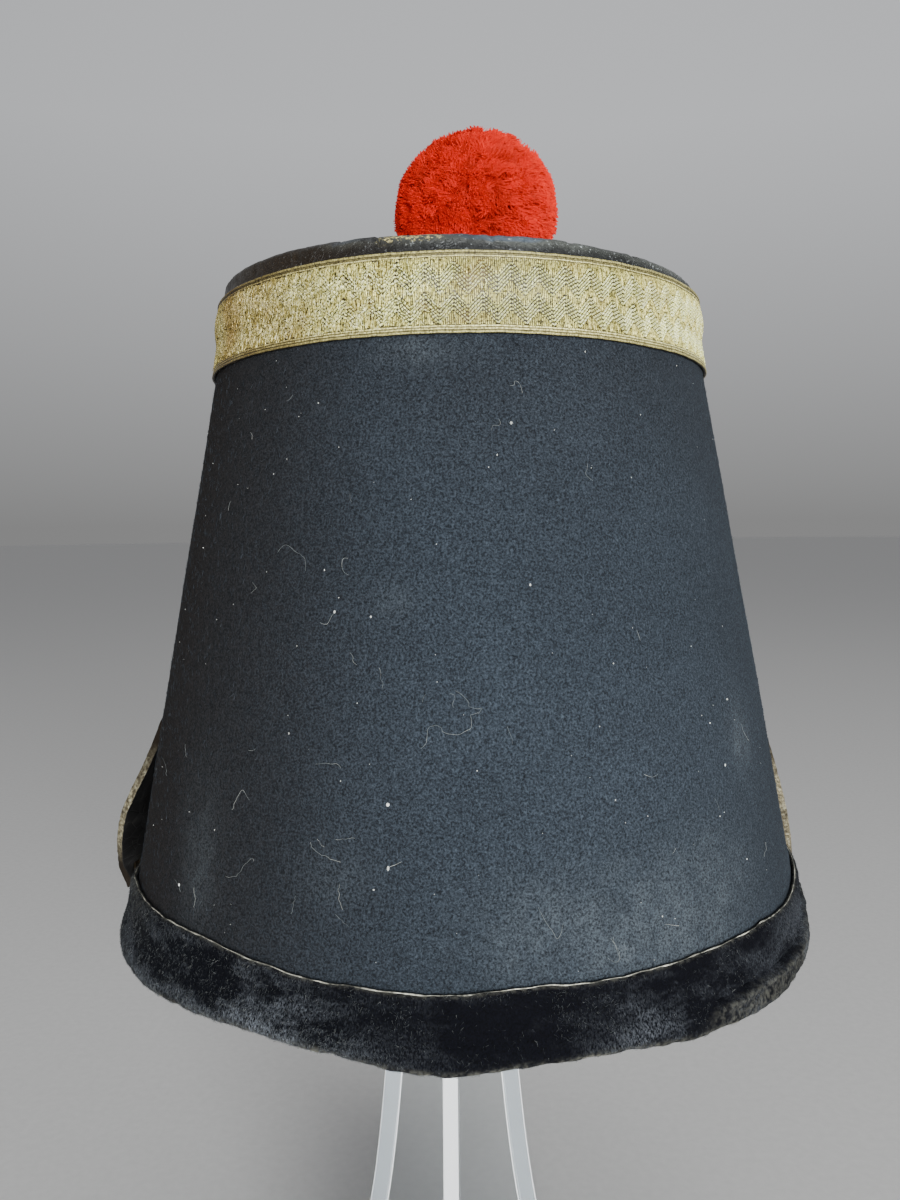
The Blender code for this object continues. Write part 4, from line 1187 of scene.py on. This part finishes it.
def makePeak():
    shape = peak
    drop = math.tan(math.radians(shape["slope"]))
    clear = shape["thick"] * math.sin(math.radians(shape["slope"])) + 1.5 * hat["gap"]
    bm = bmesh.new()
    bmesh.ops.create_grid(bm, x_segments=shape["across"], y_segments=shape["rings"], size=1)
    for v in bm.verts:
        shift, run = v.co.x * shape["halfTurn"], (v.co.y + 1) / 2
        share = math.cos(math.radians(90 * v.co.x))
        turn = 180 - shift if shift > 0 else -180 - shift
        root = onHat(turn, shape["root"], hemBulge(turn) + clear + (1 - share) * shape["endClear"])
        out = faceOut(turn, shape["root"])
        away = (Vector((out.x, out.y, 0)).normalized() + Vector((0, 1, 0))).normalized()
        run *= mixOf(shape["endReach"], shape["reach"], share)
        v.co = root + away * run - Vector((0, 0, 1)) * run * drop
    bmesh.ops.recalc_face_normals(bm, faces=bm.faces)
    if sum(f.normal.z for f in bm.faces) < 0:
        bmesh.ops.reverse_faces(bm, faces=bm.faces)
    finish = makeLeatherFinish("peakLeather", tint(13, 13, 14), tint(60, 60, 60), 0.2, 0.6)
    piece = finishPiece("peakLeather", bm, [finish], ["peak"], 50)
    wall = piece.modifiers.new("thickness", "SOLIDIFY")
    wall.thickness, wall.offset = shape["thick"], -1
    corners = piece.modifiers.new("corners", "BEVEL")
    corners.width, corners.segments, corners.limit_method = 0.8 * mm, 4, "ANGLE"
    corners.angle_limit = math.radians(50)
    return piece


pompom = {
    "radius": 25.8, "locks": 2300, "perLock": 40, "rootAt": 19.5, "seed": 3,
    "spread": 0.058, "uneven": 0.3, "width": (0.11, 0.2), "core": 21.0,
    "parting": Vector((-0.32, -0.9, 0.3)), "combed": 0.26, "curl": 0.8, "blunt": 0.7, "crease": 1.9,
    # fuller places: direction, how much longer
    "full": ((Vector((0.8, -0.45, 0.4)), 1.5), (Vector((-0.8, -0.4, -0.45)), 0.9), (Vector((-0.75, -0.3, 0.6)), 0.7)),
}


def makePompom():  # cut wool: fibres gathered in small locks that fall away from a parting
    ball, draw = pompom, random.Random(pompom["seed"])
    layers = [([], []), ([], [])]
    golden = math.pi * (3 - math.sqrt(5))

    def stray(most):
        return Vector([draw.gauss(0, most) for _ in range(3)])

    for i in range(ball["locks"]):
        z = 1 - 2 * (i + 0.5) / ball["locks"]
        ring = math.sqrt(1 - z * z)
        way = (Vector((math.cos(golden * i) * ring, math.sin(golden * i) * ring, z)) + stray(0.03)).normalized()
        lean = ball["combed"] * (way * way.dot(ball["parting"]) - ball["parting"])
        lean += ball["curl"] * noise.noise_vector(way * 9.0)
        length = ball["radius"] + draw.gauss(0, ball["uneven"]) + 0.8 * noise.noise(way * 3.0) - 0.5
        length += sum(more * softStep((way.dot(side) - 0.4) / 0.6) for side, more in ball["full"])
        crease = max(0.0, 1 - 7 * abs(noise.noise(way * 4.6 + Vector((3.0, 0, 0)))))
        length -= ball["crease"] * crease
        # locks in a crease are darker: painted shade
        lockTone = draw.random() * (1 - 0.7 * crease)
        places, tones = layers[i % 2]
        for _ in range(ball["perLock"]):
            root = (way - lean * 0.5 + stray(ball["spread"])).normalized() * ball["rootAt"]
            reach = length - abs(draw.gauss(0, 0.5))
            tip = (way + lean * 0.5 + stray(ball["spread"] * 0.8)).normalized() * reach
            ends = [woolLook["middle"] + end * mm for end in (root, tip)]
            if draw.random() < ball["blunt"]:
                ends.reverse()
            places.append((*ends, draw.uniform(*ball["width"]) * mm))
            tones += [min(max(0.7 * lockTone + 0.3 * draw.random(), 0), 1)] * 4
    finish = makeWoolFinish()
    for name, (places, tones) in zip(("pompomWool", "pompomFluff"), layers):
        piece = finishPiece(name, addNeedles(places), [finish],
                            ["pompom"] if name == "pompomWool" else [])
        piece.data.attributes.new("tone", "FLOAT", "POINT").data.foreach_set("value", tones)
    bm = bmesh.new()
    bmesh.ops.create_icosphere(bm, subdivisions=4, radius=ball["core"] * mm)
    for v in bm.verts:
        v.co = woolLook["middle"] + v.co * (1 + 0.04 * noise.noise(v.co * 600))
    core = finishPiece("pompomCore", bm, [finish])
    core.data.attributes.new("tone", "FLOAT", "POINT").data.foreach_set(
        "value", [0.4] * len(core.data.vertices))


stand = {
    # height, half width
    "rows": ((0.0, 47.0), (5.0, 46.0), (14.0, 38.5), (30.0, 29.8), (54.0, 23.2), (92.0, 18.5),
             (145.0, 15.2), (195.0, 16.2), (245.0, 21.5), (278.0, 29.0), (293.8, 32.0)),
    "thick": 4.0 * mm, "edgeThick": 1.6 * mm, "chamfer": 4.6 * mm,
    # line: width of the painted highlight lines
    "steps": 6, "slotEnd": 145 * mm, "edge": 0.3 * mm, "line": 0.3 * mm,
}


def makePanel(name, node, slotFromTop, turned, chamfer, finishes):
    rows = [(half * mm, height * mm) for height, half in stand["rows"]]
    top = rows[-1][1]
    side = [splinePoint(rows, i / stand["steps"]) for i in range((len(rows) - 1) * stand["steps"] + 1)]
    side = [(half, min(height, top)) for half, height in side]
    side = [place for place in side if place[1] in (0, top) or 1.3 * chamfer < place[1] < top - 1.3 * chamfer]
    slotHalf = stand["thick"] / 2 + hat["gap"]
    slotFoot = stand["slotEnd"] + hat["gap"]
    footPoints, topPoints = [], []
    if slotFromTop:
        topPoints = [(slotHalf, top), (slotHalf, stand["slotEnd"]), (-slotHalf, stand["slotEnd"]), (-slotHalf, top)]
    else:
        footPoints = [(-slotHalf, 0), (-slotHalf, slotFoot), (slotHalf, slotFoot), (slotHalf, 0)]
    outline = footPoints + side + topPoints + [(-half, height) for half, height in reversed(side)]
    bm = bmesh.new()
    face = bm.faces.new([bm.verts.new((x, -stand["thick"] / 2, z)) for x, z in outline])
    grown = bmesh.ops.extrude_face_region(bm, geom=[face])["geom"]
    bmesh.ops.translate(bm, vec=(0, stand["thick"], 0), verts=[v for v in grown if isinstance(v, bmesh.types.BMVert)])
    bmesh.ops.recalc_face_normals(bm, faces=bm.faces)
    lines = []
    if chamfer:  # the faces fall away to thinner edges
        broad = [f for f in bm.faces if abs(f.normal.y) > 0.9]
        for face in broad:
            bmesh.ops.inset_region(bm, faces=[face], thickness=chamfer, use_even_offset=False)
        for v in set(bm.verts) - {v for face in broad for v in face.verts}:
            v.co.y *= stand["edgeThick"] / stand["thick"]
        # a thin ring round each broad face, given the white cut-edge finish: painted highlight along the chamfer
        for face in broad:
            lines += bmesh.ops.inset_region(bm, faces=[face], thickness=stand["line"], use_even_offset=False)["faces"]
    bm.normal_update()
    # the painted highlight lines and the cut side faces take the white finish
    for f in bm.faces:
        f.material_index = 1 if f in lines or abs(f.normal.y) < 0.3 else 2 if abs(f.normal.y) < 0.99 else 0
    rims = [e for e in bm.edges if e.calc_face_angle() > math.radians(60)]
    bmesh.ops.bevel(bm, geom=rims, offset=stand["edge"], segments=2, profile=0.5, affect="EDGES", material=1)
    bmesh.ops.transform(bm, matrix=Matrix.Rotation(math.radians(turned), 4, "Z"), verts=bm.verts)
    bmesh.ops.recalc_face_normals(bm, faces=bm.faces)
    return finishPiece(name, bm, finishes, [node], 6)


print("camera and studio")
makeCamera()
makeStudio()
print("felt, nap and lint")
makeFelt()
makeNap()
makeLint()
print("lace")
laceGround = makeLace()
stitches = makeStitches()
print("velvet")
velvetPiece = makeVelvet()
selvedgePiece = makeSelvedge()
makeFuzz()
print("leather")
makeStrap()
makeCrown()
makePeak()
print("pompom")
makePompom()
print("stand")
# the white cut-edge finish also carries the painted highlight lines on panel A's broad faces
acrylic = [makeAcrylicFinish("clearAcrylic", 1.0, 0.015), makeAcrylicFinish("cutEdgeAndHighlightAcrylic", 0.12, 0.15, (1, 1, 1, 1)),
           makeAcrylicFinish("chamferAcrylic", 0.75, 0.1, (0.88, 0.95, 1, 1))]
makePanel("standPanelA", "stand_panel_a", True, 0, stand["chamfer"], acrylic)
makePanel("standPanelB", "stand_panel_b", False, 90, 0, acrylic)
brass = makeMetalFinish("agedBrass", tint(52, 44, 31), tint(34, 30, 24), 0.45)
iron = makeMetalFinish("blackIron", tint(38, 38, 40), tint(70, 62, 54), 0.45)
for node, finish in (("strap_post_left", brass), ("strap_post_right", brass), ("pompom_post", iron)):
    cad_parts[node].material_slots[0].material = finish

print("done")
